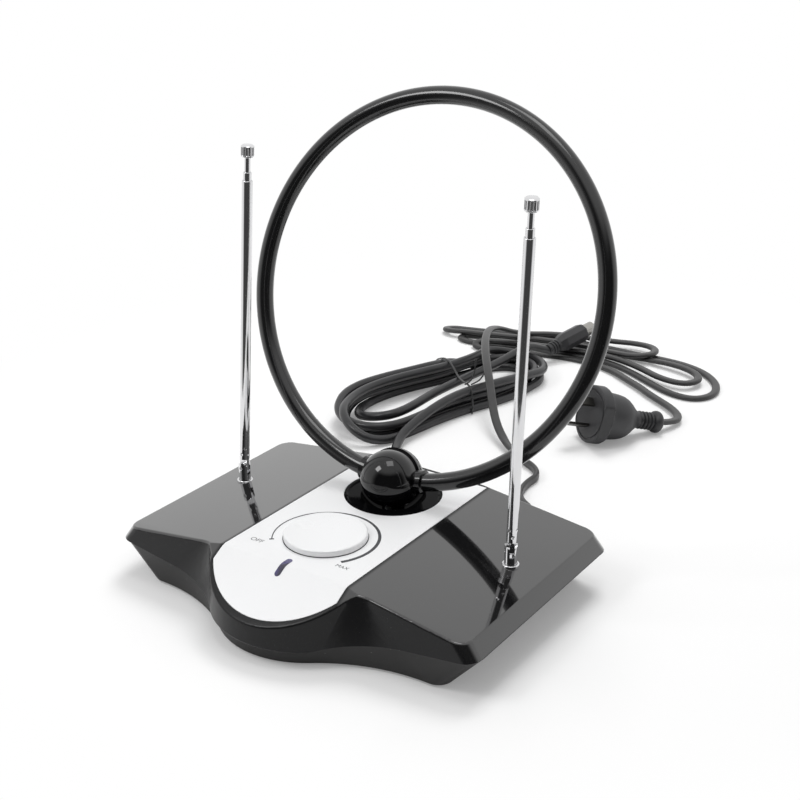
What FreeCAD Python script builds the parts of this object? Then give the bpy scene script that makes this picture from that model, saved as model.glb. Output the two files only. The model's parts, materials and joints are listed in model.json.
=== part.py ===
"""Indoor television antenna: winged base, swivelling UHF loop and two telescopic VHF rods."""
import FreeCAD, Part
import math
import os

from FreeCAD import Placement, Rotation, Vector

X_AXIS = Vector(1, 0, 0)
Y_AXIS = Vector(0, 1, 0)
Z_AXIS = Vector(0, 0, 1)
ORIGIN = Vector(0, 0, 0)
SIDES = {"left": -1, "right": 1}

# The origin lies on the table under the middle of the whole object, a little in front of the wings' middle
MIDDLE_SHIFT = Vector(0, -2.25, 0)

# Fits between pieces
RUNNING_GAP = 0.3
SLIDING_GAP = 0.2
PANEL_GAP = 0.25

# Base: wings, nose and the joint between the two housings
PANEL_HEIGHT = 37.4
PANEL_HALF_WIDTH = 37.4
WING_HALF_WIDTH = 102.4
WING_HALF_DEPTH = 64.5
WING_DROP = 8.9
SIDE_FLARE = 0.72
WALL_DRAFT = 0.07
REAR_DRAFT = 0.2
CORNER_RADIUS = 7.5
NOSE_BLEND = 8.0
WALL_NOSE_BLEND = 90.0
NOSE_RIM = 2.2
TOP_EDGE_RADIUS = 1.5
WALL = 2.0
JOINT_NOSE_HEIGHT = 9.0
JOINT_ROOT_HEIGHT = 12.3
JOINT_TIP_HEIGHT = 20.3
JOINT_NOSE_HALF = 25.0
JOINT_ROOT_HALF = 42.0
JOINT_STEP = 0.8
FOOT_INSET_SIDE = 17.0
FOOT_INSET_FRONT = 2.0
FOOT_NOSE_BLEND = 90.0
BOTTOM_HEIGHT = 1.5

# Fascia panel: flat, then an apron down over the nose
PANEL_THICKNESS = 1.2
PANEL_REAR_MARGIN = 2.0
CREASE_SETBACK = 1.0
CREASE_Y = CREASE_SETBACK - WING_HALF_DEPTH
APRON_SLOPE = 30.0
CREASE_RADIUS = 8.0
NOSE_REACH = 25.5
NOSE_STRAIGHT = 7.0
NOSE_FRONT_Y = -WING_HALF_DEPTH - NOSE_REACH
NOSE_ARC_START_Y = -WING_HALF_DEPTH - NOSE_STRAIGHT

# Gain knob and its potentiometer
KNOB_Y = -29.9
KNOB_RADIUS = 21.1
KNOB_HEIGHT = 3.0
KNOB_EDGE_RADIUS = 1.1
KNOB_WALL = 1.6
KNOB_BOSS_RADIUS = 5.0
KNOB_BOSS_LENGTH = 7.0
DIMPLE_OFFSET = 13.2
DIMPLE_RADIUS = 5.2
DIMPLE_DEPTH = 1.1
POT_SHAFT_RADIUS = 3.0
POT_BODY_RADIUS = 8.5
POT_BODY_HEIGHT = 8.0
POT_BUSH_RADIUS = 4.0
POT_BUSH_HEIGHT = 4.0

# Power indicator over the crease
LED_WINDOW_HALF_LENGTH = 6.0
LED_WINDOW_WIDTH = 3.2
LED_WINDOW_DEPTH = 6.0
LED_RADIUS = 1.5
LED_HEIGHT = 7.0

# Turntable, ball and loop
TURNTABLE_Y = 29.1
TURNTABLE_RADIUS = 25.8
TURNTABLE_THICKNESS = 2.3
TURNTABLE_DISH = 0.8
TURNTABLE_RIM_WIDTH = 1.2
BEARING_RADIUS = 20.0
BEARING_WALL = 2.2
BEARING_LENGTH = 3.4
CLIP_STEP = 1.0
CLIP_WIDTH = 4.5
CLIP_THICKNESS = 1.3
BALL_RADIUS = 16.0
BALL_LIFT = 9.2
BALL_WALL = 3.0
DOME_RADIUS = 15.0
DOME_OFFSET = 4.5
BOWL_WALL = 2.0
SEAT_RADIUS = 6.0
LOOP_RADIUS = 100.0
LOOP_TUBE_RADIUS = 4.75
LOOP_LEAN = 18.7
LOOP_TURN = 3.5
LOOP_END_GAP_ANGLE = 3.0
LOOP_LEAN_LIMIT = 28.0
COLLAR_RADIUS = 6.3
COLLAR_LENGTH = 3.5
STUD_RADIUS = 2.0
STUD_HEAD_RADIUS = 4.0
STUD_HEAD_HEIGHT = 2.2
STUD_LENGTH = 28.5
STUD_NUT_ACROSS = 7.0
STUD_NUT_HEIGHT = 3.0
WASHER_RADIUS = 5.0
WASHER_THICKNESS = 1.0

# Telescopic rods
ROD_X = 84.0
ROD_Y = 7.5
ROD_PIVOT_LIFT = 8.0
ROD_TURN = {"left": 0.0, "right": -48.4}
ROD_LEAN = {"left": 3.84, "right": 5.44}
ROD_LENGTH = 179.2
BUSH_RADIUS = 4.3
BUSH_LENGTH = 6.0
BUSH_STAND = 0.9
BUSH_BOSS_RADIUS = 6.5
FORK_RADIUS = 3.2
FORK_SLOT = 2.4
FORK_REACH = 3.2
SWIVEL_DEPTH = 11.5
SWIVEL_CLIP_RADIUS = 5.5
SWIVEL_CLIP_THICKNESS = 1.0
HINGE_PIN_RADIUS = 1.0
TONGUE_HALF_WIDTH = 2.4
TONGUE_LENGTH = 5.5
ROOT_LENGTH = 9.0
TUBE_RADIUS = 2.7
TUBE_WALL = 0.4
TUBE_LIP = 1.0
MIDDLE_SHOW = 4.3
INNER_SHOW = 7.6
CAP_RADIUS = 3.3
CAP_HEIGHT = 6.2
CAP_FLUTES = 16
CAP_FLUTE_RADIUS = 0.35
STAGE_LIFT = 3.0

# Inside the base
BOARD_HALF_WIDTH = 32.0
BOARD_FRONT_MARGIN = 2.5
BOARD_FRONT_Y = CREASE_Y - BOARD_FRONT_MARGIN
BOARD_REAR_Y = 6.0
BOARD_HEIGHT = 16.4
BOARD_THICKNESS = 1.6
BOARD_POST_RADIUS = 3.5
BOARD_POST_INSET = 6.0
BOARD_SCREW_RADIUS = 1.2
BOARD_SCREW_HEAD_RADIUS = 2.5
BOARD_SCREW_HEAD_HEIGHT = 1.6
BOARD_SCREW_LENGTH = 8.0
CORE_WIDTH = 28.0
CORE_DEPTH = 32.0
CORE_HEIGHT = 22.0
CORE_X = 36.0
CORE_Y = 40.0
CORE_LIMB = 7.0
WINDING_GAP = 0.5
CONTACT_WIDTH = 6.0
CONTACT_THICKNESS = 0.5
CONTACT_REACH = 16.0
CONTACT_POST_RADIUS = 4.0

# Fasteners and feet
SCREW_X = 66.0
SCREW_Y = 45.0
SCREW_BOSS_RADIUS = 4.5
SCREW_RADIUS = 1.5
SCREW_HEAD_RADIUS = 3.0
SCREW_HEAD_HEIGHT = 2.2
SCREW_SEAT_HEIGHT = 9.0
SCREW_LENGTH = 17.0
BOSS_JOINT_HEIGHT = 15.2
FOOT_X = 80.0
FOOT_Y = 46.0
FOOT_RADIUS = 6.0
FOOT_RECESS = 0.8

# Cords, their outlets, hanks and ends
COAX_RADIUS = 3.0
COAX_OUTLET_X = -40.0
MAINS_WIDTH = 5.6
MAINS_THICKNESS = 3.2
MAINS_OUTLET_X = 52.0
OUTLET_HEIGHT = 9.0
GLAND_LENGTH = 22.0
GLAND_INSIDE = 3.0
GLAND_WALL = 2.2
GLAND_FLANGE = 1.5
COAX_HANK_CENTRE = Vector(-95, 230, 0)
COAX_HANK_TURN = -7.0
COAX_HANK_HALF_LENGTH = 97.0
COAX_HANK_HALF_WIDTH = 39.0
COAX_HANK_BUNDLE = 24.0
COAX_HANK_HEIGHT = 19.0
TIE_WIDTH = 2.4
TIE_THICKNESS = 0.8
TIE_SLANT = -35.0
MAINS_HANK_LEFT = (Vector(-149, 348, 0), Vector(-60, 376, 0), 14.0)
MAINS_HANK_RIGHT = (Vector(-32, 374, 0), Vector(32, 342, 0), 26.0)
MAINS_HANK_HEIGHT = 8.5
COAX_PLUG_REAR = Vector(-71, 333, 10.1)
COAX_PLUG_FRONT = Vector(-60, 366, 16.8)
COAX_PLUG_RADIUS = 6.5
COAX_SHELL_RADIUS = 4.76
COAX_SHELL_BORE = 4.0
COAX_SHELL_LENGTH = 9.0
COAX_PIN_RADIUS = 1.2
MAINS_PLUG_REAR = Vector(48.5, 263, 6.6)
MAINS_PLUG_FACE = Vector(18.8, 221.9, 19.9)
PLUG_FACE_RADIUS = 18.6
PLUG_FLAT = 15.5
PLUG_RIM = 7.0
PLUG_BELL_RADIUS = 13.5
PLUG_NECK_RADIUS = 5.2
PLUG_BULB_RADIUS = 6.3
PIN_LENGTH = 17.0
PIN_WIDTH = 6.3
PIN_THICKNESS = 1.6
PIN_CENTRE_OFFSET = 7.9
PIN_TILT = 30.0

# Hand-chosen points of the cords' free runs
COAX_LEAD_ROUTE = [
    (-41.5, 99.0, 8.0),
    (-47.0, 110.0, 5.5),
    (-57.0, 119.5, 3.6),
    (-68.0, 130.0, 3.1),
    (-76.0, 143.0, 3.6),
    (-79.0, 155.5, 7.2),
]
COAX_TAIL_ROUTE = [
    (-81.0, 304.9, 14.8),
    (-78.6, 318.7, 15.0),
    (-74.8, 326.3, 12.5),
]
MAINS_LEAD_ROUTE = [
    (49.5, 97.0, 8.4),
    (41.0, 107.0, 6.6),
    (29.5, 116.5, 4.2),
    (21.5, 128.0, 2.9),
    (18.5, 141.5, 2.9),
    (19.5, 154.0, 2.9),
    (12.5, 163.0, 2.9),
    (1.0, 169.0, 2.9),
    (-10.5, 176.0, 3.2),
    (-22.0, 185.0, 5.0),
    (-33.5, 195.0, 9.5),
    (-43.5, 206.5, 16.0),
    (-53.0, 219.5, 22.5),
    (-63.5, 233.5, 27.5),
    (-75.5, 250.5, 30.5),
    (-87.0, 269.0, 31.5),
    (-97.5, 288.0, 30.5),
    (-106.0, 308.0, 27.5),
    (-110.0, 328.0, 21.5),
    (-109.5, 347.0, 13.0),
    (-104.5, 364.0, 7.0),
]
MAINS_TAIL_ROUTE = [
    (-21.0, 339.5, 2.4),
    (-6.0, 329.5, 2.8),
    (8.5, 320.5, 3.0),
    (19.5, 312.0, 3.0),
    (31.7, 304.5, 3.0),
    (43.7, 296.5, 3.0),
    (52.5, 286.5, 3.2),
    (54.7, 275.0, 4.0),
]

PARTS = {}


def add(name, shape):
    """Keeps a finished piece under its node name."""
    shape = shape.removeSplitter()
    if not shape.isValid():
        raise ValueError(f"{name} is not a valid solid")
    shape.translate(MIDDLE_SHIFT)
    PARTS[name] = shape


def cylinder(radius, low, high, x=0.0, y=0.0):
    """Upright cylinder between two heights."""
    return Part.makeCylinder(radius, high - low, Vector(x, y, low))


def box(x_span, y_span, z_span):
    """Block between two corners."""
    size = [span[1] - span[0] for span in (x_span, y_span, z_span)]
    return Part.makeBox(*size, Vector(x_span[0], y_span[0], z_span[0]))


def face_of(points):
    """Flat face inside a closed row of points."""
    return Part.Face(Part.makePolygon(points + points[:1]))


def section_across(points, reach):
    """Prism along Y from (x, z) points, symmetrical about y = 0."""
    face = face_of([Vector(x, -reach, z) for x, z in points])
    return face.extrude(Vector(0, 2 * reach, 0))


def section_along(points, reach):
    """Prism along X from (y, z) points, symmetrical about x = 0."""
    face = face_of([Vector(-reach, y, z) for y, z in points])
    return face.extrude(Vector(2 * reach, 0, 0))


def revolved(profile):
    """Solid of revolution about Z from (radius, height) points."""
    face = face_of([Vector(radius, 0, height) for radius, height in profile])
    return face.revolve(ORIGIN, Z_AXIS, 360)


def arc(start, middle, end):
    """Arc edge through three points."""
    return Part.Arc(start, middle, end).toShape()


def mirrored(shape):
    """Mirror image across the plane x = 0."""
    return shape.mirror(ORIGIN, X_AXIS)


# Base shape


def wing_height(x):
    """Height of the upper face at a distance from the middle."""
    out = max(abs(x) - PANEL_HALF_WIDTH, 0.0)
    return PANEL_HEIGHT - WING_DROP * out / (WING_HALF_WIDTH - PANEL_HALF_WIDTH)


NOSE_SAG = NOSE_ARC_START_Y - NOSE_FRONT_Y
NOSE_ARC_RADIUS = (PANEL_HALF_WIDTH ** 2 + NOSE_SAG ** 2) / (2 * NOSE_SAG)
NOSE_CENTRE_Y = NOSE_FRONT_Y + NOSE_ARC_RADIUS
APRON_FALL = math.tan(math.radians(APRON_SLOPE))
TIP_HEIGHT = wing_height(WING_HALF_WIDTH)
FAR = 3 * WING_HALF_WIDTH


def base_outline(half_width, half_depth, rear, nose_radius, blend, height):
    """Plan outline of the base at a height: rounded corners and a nose blended into the front edge."""
    corner = CORNER_RADIUS
    diagonal = corner * (1 - math.sqrt(0.5))
    blend_y = -half_depth - blend
    reach = nose_radius + blend
    blend_x = math.sqrt(reach ** 2 - (blend_y - NOSE_CENTRE_Y) ** 2)
    touch = nose_radius / reach
    nose_x = blend_x * touch
    nose_y = NOSE_CENTRE_Y + (blend_y - NOSE_CENTRE_Y) * touch
    to_nose = Vector(nose_x - blend_x, nose_y - blend_y, 0)
    middle = (to_nose + Vector(0, blend, 0)).normalize() * blend
    blend_middle = Vector(blend_x, blend_y, 0) + middle
    right = [
        (half_width - corner, rear),
        (half_width - diagonal, rear - diagonal),
        (half_width, rear - corner),
        (half_width, corner - half_depth),
        (half_width - diagonal, diagonal - half_depth),
        (half_width - corner, -half_depth),
        (blend_x, -half_depth),
        (blend_middle.x, blend_middle.y),
        (nose_x, nose_y),
    ]
    at = [Vector(x, y, height) for x, y in right]
    across = [Vector(-x, y, height) for x, y in right]
    edges = [
        Part.makeLine(across[0], at[0]),
        arc(at[0], at[1], at[2]),
        Part.makeLine(at[2], at[3]),
        arc(at[3], at[4], at[5]),
        Part.makeLine(at[5], at[6]),
        arc(at[6], at[7], at[8]),
        arc(at[8], Vector(0, NOSE_CENTRE_Y - nose_radius, height), across[8]),
        arc(across[8], across[7], across[6]),
        Part.makeLine(across[6], across[5]),
        arc(across[5], across[4], across[3]),
        Part.makeLine(across[3], across[2]),
        arc(across[2], across[1], across[0]),
    ]
    return Part.Wire(edges)


def wall_blend(height):
    """Radius that joins the nose to the front walls at a height, wider towards the table."""
    return NOSE_BLEND + (WALL_NOSE_BLEND - NOSE_BLEND) * (PANEL_HEIGHT - height) / PANEL_HEIGHT


def wall_outline(height, inset):
    """Outline of the upper housing's drafted walls at a height."""
    below_tip = TIP_HEIGHT - height
    below_panel = PANEL_HEIGHT - height
    half_width = WING_HALF_WIDTH + SIDE_FLARE * below_tip - inset
    half_depth = WING_HALF_DEPTH + WALL_DRAFT * below_panel - inset
    rear = WING_HALF_DEPTH + REAR_DRAFT * below_panel - inset
    nose_radius = NOSE_ARC_RADIUS + NOSE_RIM + WALL_DRAFT * below_panel - inset
    return base_outline(half_width, half_depth, rear, nose_radius, wall_blend(height), height)


def foot_rise(height):
    """Share of the way from the lower housing's foot to the joint at the tips."""
    return (height - BOTTOM_HEIGHT) / (JOINT_TIP_HEIGHT - BOTTOM_HEIGHT)


def foot_rear(height):
    """Rear face of the lower housing at a height."""
    deepest = WING_HALF_DEPTH + REAR_DRAFT * (PANEL_HEIGHT - JOINT_TIP_HEIGHT) - JOINT_STEP
    return deepest - FOOT_INSET_FRONT * (1 - foot_rise(height))


def foot_outline(height, inset):
    """Outline of the lower housing, drawn in towards the table."""
    rise = foot_rise(height)
    widest = WING_HALF_WIDTH + SIDE_FLARE * (TIP_HEIGHT - JOINT_TIP_HEIGHT) - JOINT_STEP
    deepest = WING_HALF_DEPTH + WALL_DRAFT * (PANEL_HEIGHT - JOINT_TIP_HEIGHT) - JOINT_STEP
    longest = NOSE_ARC_RADIUS + NOSE_RIM - JOINT_STEP
    half_width = widest - FOOT_INSET_SIDE * (1 - rise) - inset
    half_depth = deepest - FOOT_INSET_FRONT * (1 - rise) - inset
    nose_radius = longest - FOOT_INSET_FRONT * (1 - rise) - inset
    blend = FOOT_NOSE_BLEND + (wall_blend(JOINT_TIP_HEIGHT) - FOOT_NOSE_BLEND) * rise
    rear = foot_rear(height) - inset
    return base_outline(half_width, half_depth, rear, nose_radius, blend, height)


def joint_line():
    """Right half of the joint between the housings, as (x, z) points."""
    return [
        (JOINT_NOSE_HALF, JOINT_NOSE_HEIGHT),
        (JOINT_ROOT_HALF, JOINT_ROOT_HEIGHT),
        (FAR, joint_height(FAR)),
    ]


def joint_height(x):
    """Height of the joint between the housings at a distance from the middle."""
    slope = (JOINT_TIP_HEIGHT - JOINT_ROOT_HEIGHT) / (WING_HALF_WIDTH - JOINT_ROOT_HALF)
    return JOINT_ROOT_HEIGHT + slope * (abs(x) - JOINT_ROOT_HALF)


def both_halves(right):
    """Whole left-to-right row of points from its right half."""
    return [(-x, z) for x, z in reversed(right)] + right


def above_joint():
    """Everything above the joint line."""
    top = [(FAR, FAR), (-FAR, FAR)]
    return section_across(both_halves(joint_line()) + top, FAR)


def below_joint():
    """Everything below the joint line."""
    bottom = [(FAR, -FAR), (-FAR, -FAR)]
    return section_across(both_halves(joint_line()) + bottom, FAR)


def under_roof(drop, middle_drop):
    """Everything under the wings and the panel, set down by a wall."""
    middle = PANEL_HALF_WIDTH + PANEL_GAP + WALL if middle_drop > drop else PANEL_HALF_WIDTH
    right = [
        (middle, PANEL_HEIGHT - middle_drop),
        (middle, wing_height(middle) - drop),
        (FAR, wing_height(FAR) - drop),
    ]
    if middle_drop == drop:
        right = right[1:]
    bottom = [(FAR, -FAR), (-FAR, -FAR)]
    return section_across(both_halves(right) + bottom, FAR)


def under_apron(drop):
    """Everything under the panel's plane and its sloping apron, set down by a wall."""
    top = PANEL_HEIGHT - drop
    bend_y = CREASE_Y + drop * math.tan(math.radians(APRON_SLOPE / 2))
    points = [
        (FAR, FAR),
        (bend_y, FAR),
        (bend_y, top),
        (-FAR, top - APRON_FALL * (FAR + bend_y)),
        (-FAR, -FAR),
        (FAR, -FAR),
    ]
    return section_along(points, FAR)


def upper_block(inset, drop, middle_drop):
    """The upper housing's form, set in by a wall, before its joint is cut."""
    low = wall_outline(0.0, inset)
    high = wall_outline(PANEL_HEIGHT + WALL, inset)
    block = Part.makeLoft([low, high], True, True)
    return block.common(under_roof(drop, middle_drop)).common(under_apron(middle_drop))


def lower_block(inset, floor_height):
    """The lower housing's form, set in by a wall, before its joint is cut."""
    return Part.makeLoft(
        [foot_outline(floor_height, inset), foot_outline(JOINT_TIP_HEIGHT + WALL / 2, inset)], True, True
    )


def panel_plan(gap):
    """Plan of the fascia panel with a gap round it."""
    half = PANEL_HALF_WIDTH + gap
    rear = WING_HALF_DEPTH - PANEL_REAR_MARGIN + gap
    radius = NOSE_ARC_RADIUS + gap
    start_y = NOSE_CENTRE_Y - math.sqrt(radius ** 2 - half ** 2)
    start = Vector(half, start_y, 0)
    end = Vector(-half, start_y, 0)
    wire = Part.Wire(
        [
            Part.makeLine(Vector(-half, rear, 0), Vector(half, rear, 0)),
            Part.makeLine(Vector(half, rear, 0), start),
            arc(start, Vector(0, NOSE_CENTRE_Y - radius, 0), end),
            Part.makeLine(end, Vector(-half, rear, 0)),
        ]
    )
    return Part.Face(wire).extrude(Vector(0, 0, 2 * PANEL_HEIGHT))


def bent_sheet(drop, thickness):
    """Sheet that lies flat and then bends down the apron with a rounded crease."""
    outside = CREASE_RADIUS - drop
    slope = math.radians(APRON_SLOPE)
    set_back = CREASE_RADIUS * math.tan(slope / 2)
    centre = Vector(-FAR, CREASE_Y + set_back, PANEL_HEIGHT - CREASE_RADIUS)

    def crease(radius):
        """Ends and middle of the crease at a radius from its centre."""
        turns = (0, slope / 2, slope)
        return [centre + Vector(0, -radius * math.sin(turn), radius * math.cos(turn)) for turn in turns]

    upper = crease(outside)
    lower = crease(outside - thickness)
    run = Vector(0, -FAR * math.cos(slope), -FAR * math.sin(slope))
    rear = Vector(0, FAR, 0)
    wire = Part.Wire(
        [
            Part.makeLine(upper[0] + rear, upper[0]),
            arc(*upper),
            Part.makeLine(upper[2], upper[2] + run),
            Part.makeLine(upper[2] + run, lower[2] + run),
            Part.makeLine(lower[2] + run, lower[2]),
            arc(*reversed(lower)),
            Part.makeLine(lower[0], lower[0] + rear),
            Part.makeLine(lower[0] + rear, upper[0] + rear),
        ]
    )
    return Part.Face(wire).extrude(Vector(2 * FAR, 0, 0))


def screw_places():
    """Corners where the housings are screwed together."""
    return [(sx * SCREW_X, sy * SCREW_Y) for sx in (-1, 1) for sy in (-1, 1)]


def foot_places():
    """Corners where the feet sit."""
    return [(sx * FOOT_X, sy * FOOT_Y) for sx in (-1, 1) for sy in (-1, 1)]


def board_post_places():
    """Corners where the amplifier board is screwed down."""
    x = BOARD_HALF_WIDTH - BOARD_POST_INSET
    rows = (BOARD_FRONT_Y + 3 * BOARD_POST_INSET, BOARD_REAR_Y - BOARD_POST_INSET)
    return [(sx * x, y) for sx in (-1, 1) for y in rows]


TURNTABLE_TOP = PANEL_HEIGHT - 0.1
TURNTABLE_UNDER = TURNTABLE_TOP - TURNTABLE_THICKNESS
WELL_FLOOR = TURNTABLE_UNDER - RUNNING_GAP
WELL_BOTTOM = TURNTABLE_UNDER - BEARING_LENGTH + RUNNING_GAP
ROD_SURFACE = wing_height(ROD_X)
ROD_PIVOT_HEIGHT = ROD_SURFACE + ROD_PIVOT_LIFT
BUSH_TOP = ROD_SURFACE + BUSH_STAND
BUSH_BOTTOM = BUSH_TOP - BUSH_LENGTH
BOSS_BOTTOM = ROD_SURFACE - SWIVEL_DEPTH + SWIVEL_CLIP_THICKNESS + 2 * RUNNING_GAP + 1.5
FLOOR_TOP = BOTTOM_HEIGHT + WALL
OUTLET_WALL_Y = foot_rear(OUTLET_HEIGHT)
OUTLET_END_Y = OUTLET_WALL_Y + GLAND_LENGTH - WALL


def outlet_hole(x, radius):
    """Hole through the rear wall for a cord's gland."""
    start = Vector(x, OUTLET_WALL_Y - 5 * WALL, OUTLET_HEIGHT)
    return Part.makeCylinder(radius, 7 * WALL, start, Y_AXIS)


def outlet_holes():
    """Holes for both cords, through whatever wall stands behind the base."""
    coax = outlet_hole(COAX_OUTLET_X, COAX_RADIUS + GLAND_WALL)
    return [coax, outlet_hole(MAINS_OUTLET_X, MAINS_WIDTH / 2 + GLAND_WALL)]


def top_edges(shape):
    """Outer edges along the wings' rims and round the nose, where the housing is rounded over."""
    chosen = []
    for edge in shape.Edges:
        box_of = edge.BoundBox
        on_joint = box_of.ZMin < joint_height(box_of.Center.x) + WALL
        inside = abs(box_of.Center.x) < PANEL_HALF_WIDTH + WALL and box_of.Center.y > NOSE_ARC_START_Y
        rises = box_of.ZLength > WING_DROP + WALL and box_of.XLength < CORNER_RADIUS
        if not (on_joint or inside or rises):
            chosen.append(edge)
    return chosen


def make_upper_housing():
    """Gloss upper shell with the panel's recess, the turntable's well and the bosses."""
    middle_drop = PANEL_THICKNESS + WALL
    outer = upper_block(0.0, 0.0, 0.0).common(above_joint())
    outer = outer.makeFillet(TOP_EDGE_RADIUS, top_edges(outer))
    inner = upper_block(WALL, WALL, middle_drop)
    shell = outer.cut(inner)
    bosses = [cylinder(SCREW_BOSS_RADIUS, BOSS_JOINT_HEIGHT, PANEL_HEIGHT, x, y) for x, y in screw_places()]
    for side in SIDES.values():
        bosses.append(cylinder(BUSH_BOSS_RADIUS, BOSS_BOTTOM, PANEL_HEIGHT, side * ROD_X, ROD_Y))
    well_radius = TURNTABLE_RADIUS + RUNNING_GAP + WALL
    bosses.append(cylinder(well_radius, WELL_BOTTOM, PANEL_HEIGHT, 0, TURNTABLE_Y))
    trimmed = Part.makeCompound([boss.common(outer) for boss in bosses])
    shell = shell.fuse(trimmed.Solids)
    recess = bent_sheet(0.0, PANEL_THICKNESS).fuse(bent_sheet(-WALL, WALL)).common(panel_plan(PANEL_GAP))
    shell = shell.cut(recess)
    cuts = [
        cylinder(TURNTABLE_RADIUS + RUNNING_GAP, WELL_FLOOR, FAR, 0, TURNTABLE_Y),
        cylinder(BEARING_RADIUS + RUNNING_GAP, 0, FAR, 0, TURNTABLE_Y),
        cylinder(KNOB_BOSS_RADIUS + RUNNING_GAP, 0, FAR, 0, KNOB_Y),
        led_slot(SLIDING_GAP),
    ]
    pilot_top = SCREW_SEAT_HEIGHT + SCREW_LENGTH
    cuts += [cylinder(SCREW_RADIUS, 0, pilot_top, x, y) for x, y in screw_places()]
    for side in SIDES.values():
        cuts.append(cylinder(BUSH_RADIUS, BUSH_BOTTOM, FAR, side * ROD_X, ROD_Y))
        cuts.append(cylinder(FORK_RADIUS + SLIDING_GAP, 0, FAR, side * ROD_X, ROD_Y))
    return shell.cut(cuts + outlet_holes())


def make_lower_housing():
    """Tray that closes the base from below, with screw bosses, board posts and foot recesses."""
    below = below_joint()
    outer = lower_block(0.0, BOTTOM_HEIGHT).common(below)
    tray = outer.cut(lower_block(WALL, FLOOR_TOP))
    bosses = [cylinder(SCREW_BOSS_RADIUS, BOTTOM_HEIGHT, BOSS_JOINT_HEIGHT, x, y) for x, y in screw_places()]
    bosses += [cylinder(BOARD_POST_RADIUS, BOTTOM_HEIGHT, BOARD_HEIGHT, x, y) for x, y in board_post_places()]
    post_top = contact_height()
    for side in SIDES.values():
        x = side * (ROD_X - CONTACT_REACH)
        bosses.append(cylinder(CONTACT_POST_RADIUS, BOTTOM_HEIGHT, post_top, x, ROD_Y))
    tray = tray.fuse(bosses)
    cuts = []
    for x, y in screw_places():
        cuts.append(cylinder(SCREW_RADIUS + SLIDING_GAP, 0, PANEL_HEIGHT, x, y))
        cuts.append(cylinder(SCREW_HEAD_RADIUS + RUNNING_GAP, 0, SCREW_SEAT_HEIGHT, x, y))
    for x, y in board_post_places():
        low = BOARD_HEIGHT + BOARD_THICKNESS - BOARD_SCREW_LENGTH
        cuts.append(cylinder(BOARD_SCREW_RADIUS, low, PANEL_HEIGHT, x, y))
    cuts += [cylinder(FOOT_RADIUS, 0, BOTTOM_HEIGHT + FOOT_RECESS, x, y) for x, y in foot_places()]
    return tray.cut(cuts + outlet_holes())


def led_slot(gap):
    """Upright slot with round ends that the indicator's window fills."""
    radius = LED_WINDOW_WIDTH / 2 + gap
    reach = LED_WINDOW_HALF_LENGTH - LED_WINDOW_WIDTH / 2
    low = PANEL_HEIGHT - 3 * LED_WINDOW_DEPTH
    front = CREASE_Y - reach
    rear = CREASE_Y + reach
    slot = box((-radius, radius), (front, rear), (low, FAR))
    return slot.fuse([cylinder(radius, low, FAR, 0, front), cylinder(radius, low, FAR, 0, rear)])


def make_fascia_panel():
    """Silver panel, bent down over the nose, with its openings."""
    panel = bent_sheet(0.0, PANEL_THICKNESS).common(panel_plan(0.0))
    return panel.cut(
        [
            cylinder(TURNTABLE_RADIUS + RUNNING_GAP, 0, FAR, 0, TURNTABLE_Y),
            cylinder(KNOB_BOSS_RADIUS + RUNNING_GAP, 0, FAR, 0, KNOB_Y),
            led_slot(0.0),
        ]
    )


def make_led_window():
    """Light pipe that follows the crease and stands a hair proud of the panel."""
    return bent_sheet(-SLIDING_GAP, LED_WINDOW_DEPTH).common(led_slot(0.0))


# Gain control

KNOB_UNDER = PANEL_HEIGHT + RUNNING_GAP
KNOB_TOP = KNOB_UNDER + KNOB_HEIGHT
POT_BASE = BOARD_HEIGHT + BOARD_THICKNESS
POT_BUSH_TOP = POT_BASE + POT_BODY_HEIGHT + POT_BUSH_HEIGHT


def make_gain_knob():
    """Low knob with a rounded rim, a finger dimple and a boss that grips the shaft."""
    knob = cylinder(KNOB_RADIUS, KNOB_UNDER, KNOB_TOP)
    rim = [edge for edge in knob.Edges if abs(edge.BoundBox.ZMin - KNOB_TOP) < 1e-6]
    knob = knob.makeFillet(KNOB_EDGE_RADIUS, rim)
    hollow = cylinder(KNOB_RADIUS - KNOB_WALL, 0, KNOB_TOP - 2 * KNOB_WALL + RUNNING_GAP)
    boss = cylinder(KNOB_BOSS_RADIUS, KNOB_UNDER - KNOB_BOSS_LENGTH, KNOB_TOP - KNOB_WALL)
    bore = cylinder(POT_SHAFT_RADIUS, 0, KNOB_TOP - KNOB_WALL)
    ball_radius = (DIMPLE_RADIUS ** 2 + DIMPLE_DEPTH ** 2) / (2 * DIMPLE_DEPTH)
    ball_at = Vector(-DIMPLE_OFFSET, 0, KNOB_TOP - DIMPLE_DEPTH + ball_radius)
    knob = knob.cut(hollow).fuse(boss).cut([bore, Part.makeSphere(ball_radius, ball_at)])
    knob.translate(Vector(0, KNOB_Y, 0))
    return knob


def make_pot_shaft():
    """Potentiometer shaft in the knob's boss."""
    return cylinder(POT_SHAFT_RADIUS, POT_BASE + POT_BODY_HEIGHT, KNOB_TOP - KNOB_WALL, 0, KNOB_Y)


def make_potentiometer():
    """Potentiometer can and threaded bush on the board."""
    can = cylinder(POT_BODY_RADIUS, POT_BASE, POT_BASE + POT_BODY_HEIGHT, 0, KNOB_Y)
    bush = cylinder(POT_BUSH_RADIUS, POT_BASE, POT_BUSH_TOP, 0, KNOB_Y)
    bore = cylinder(POT_SHAFT_RADIUS + SLIDING_GAP, POT_BASE + POT_BODY_HEIGHT, POT_BUSH_TOP, 0, KNOB_Y)
    return can.fuse(bush).cut(bore)


# Turntable, ball and loop

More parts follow.
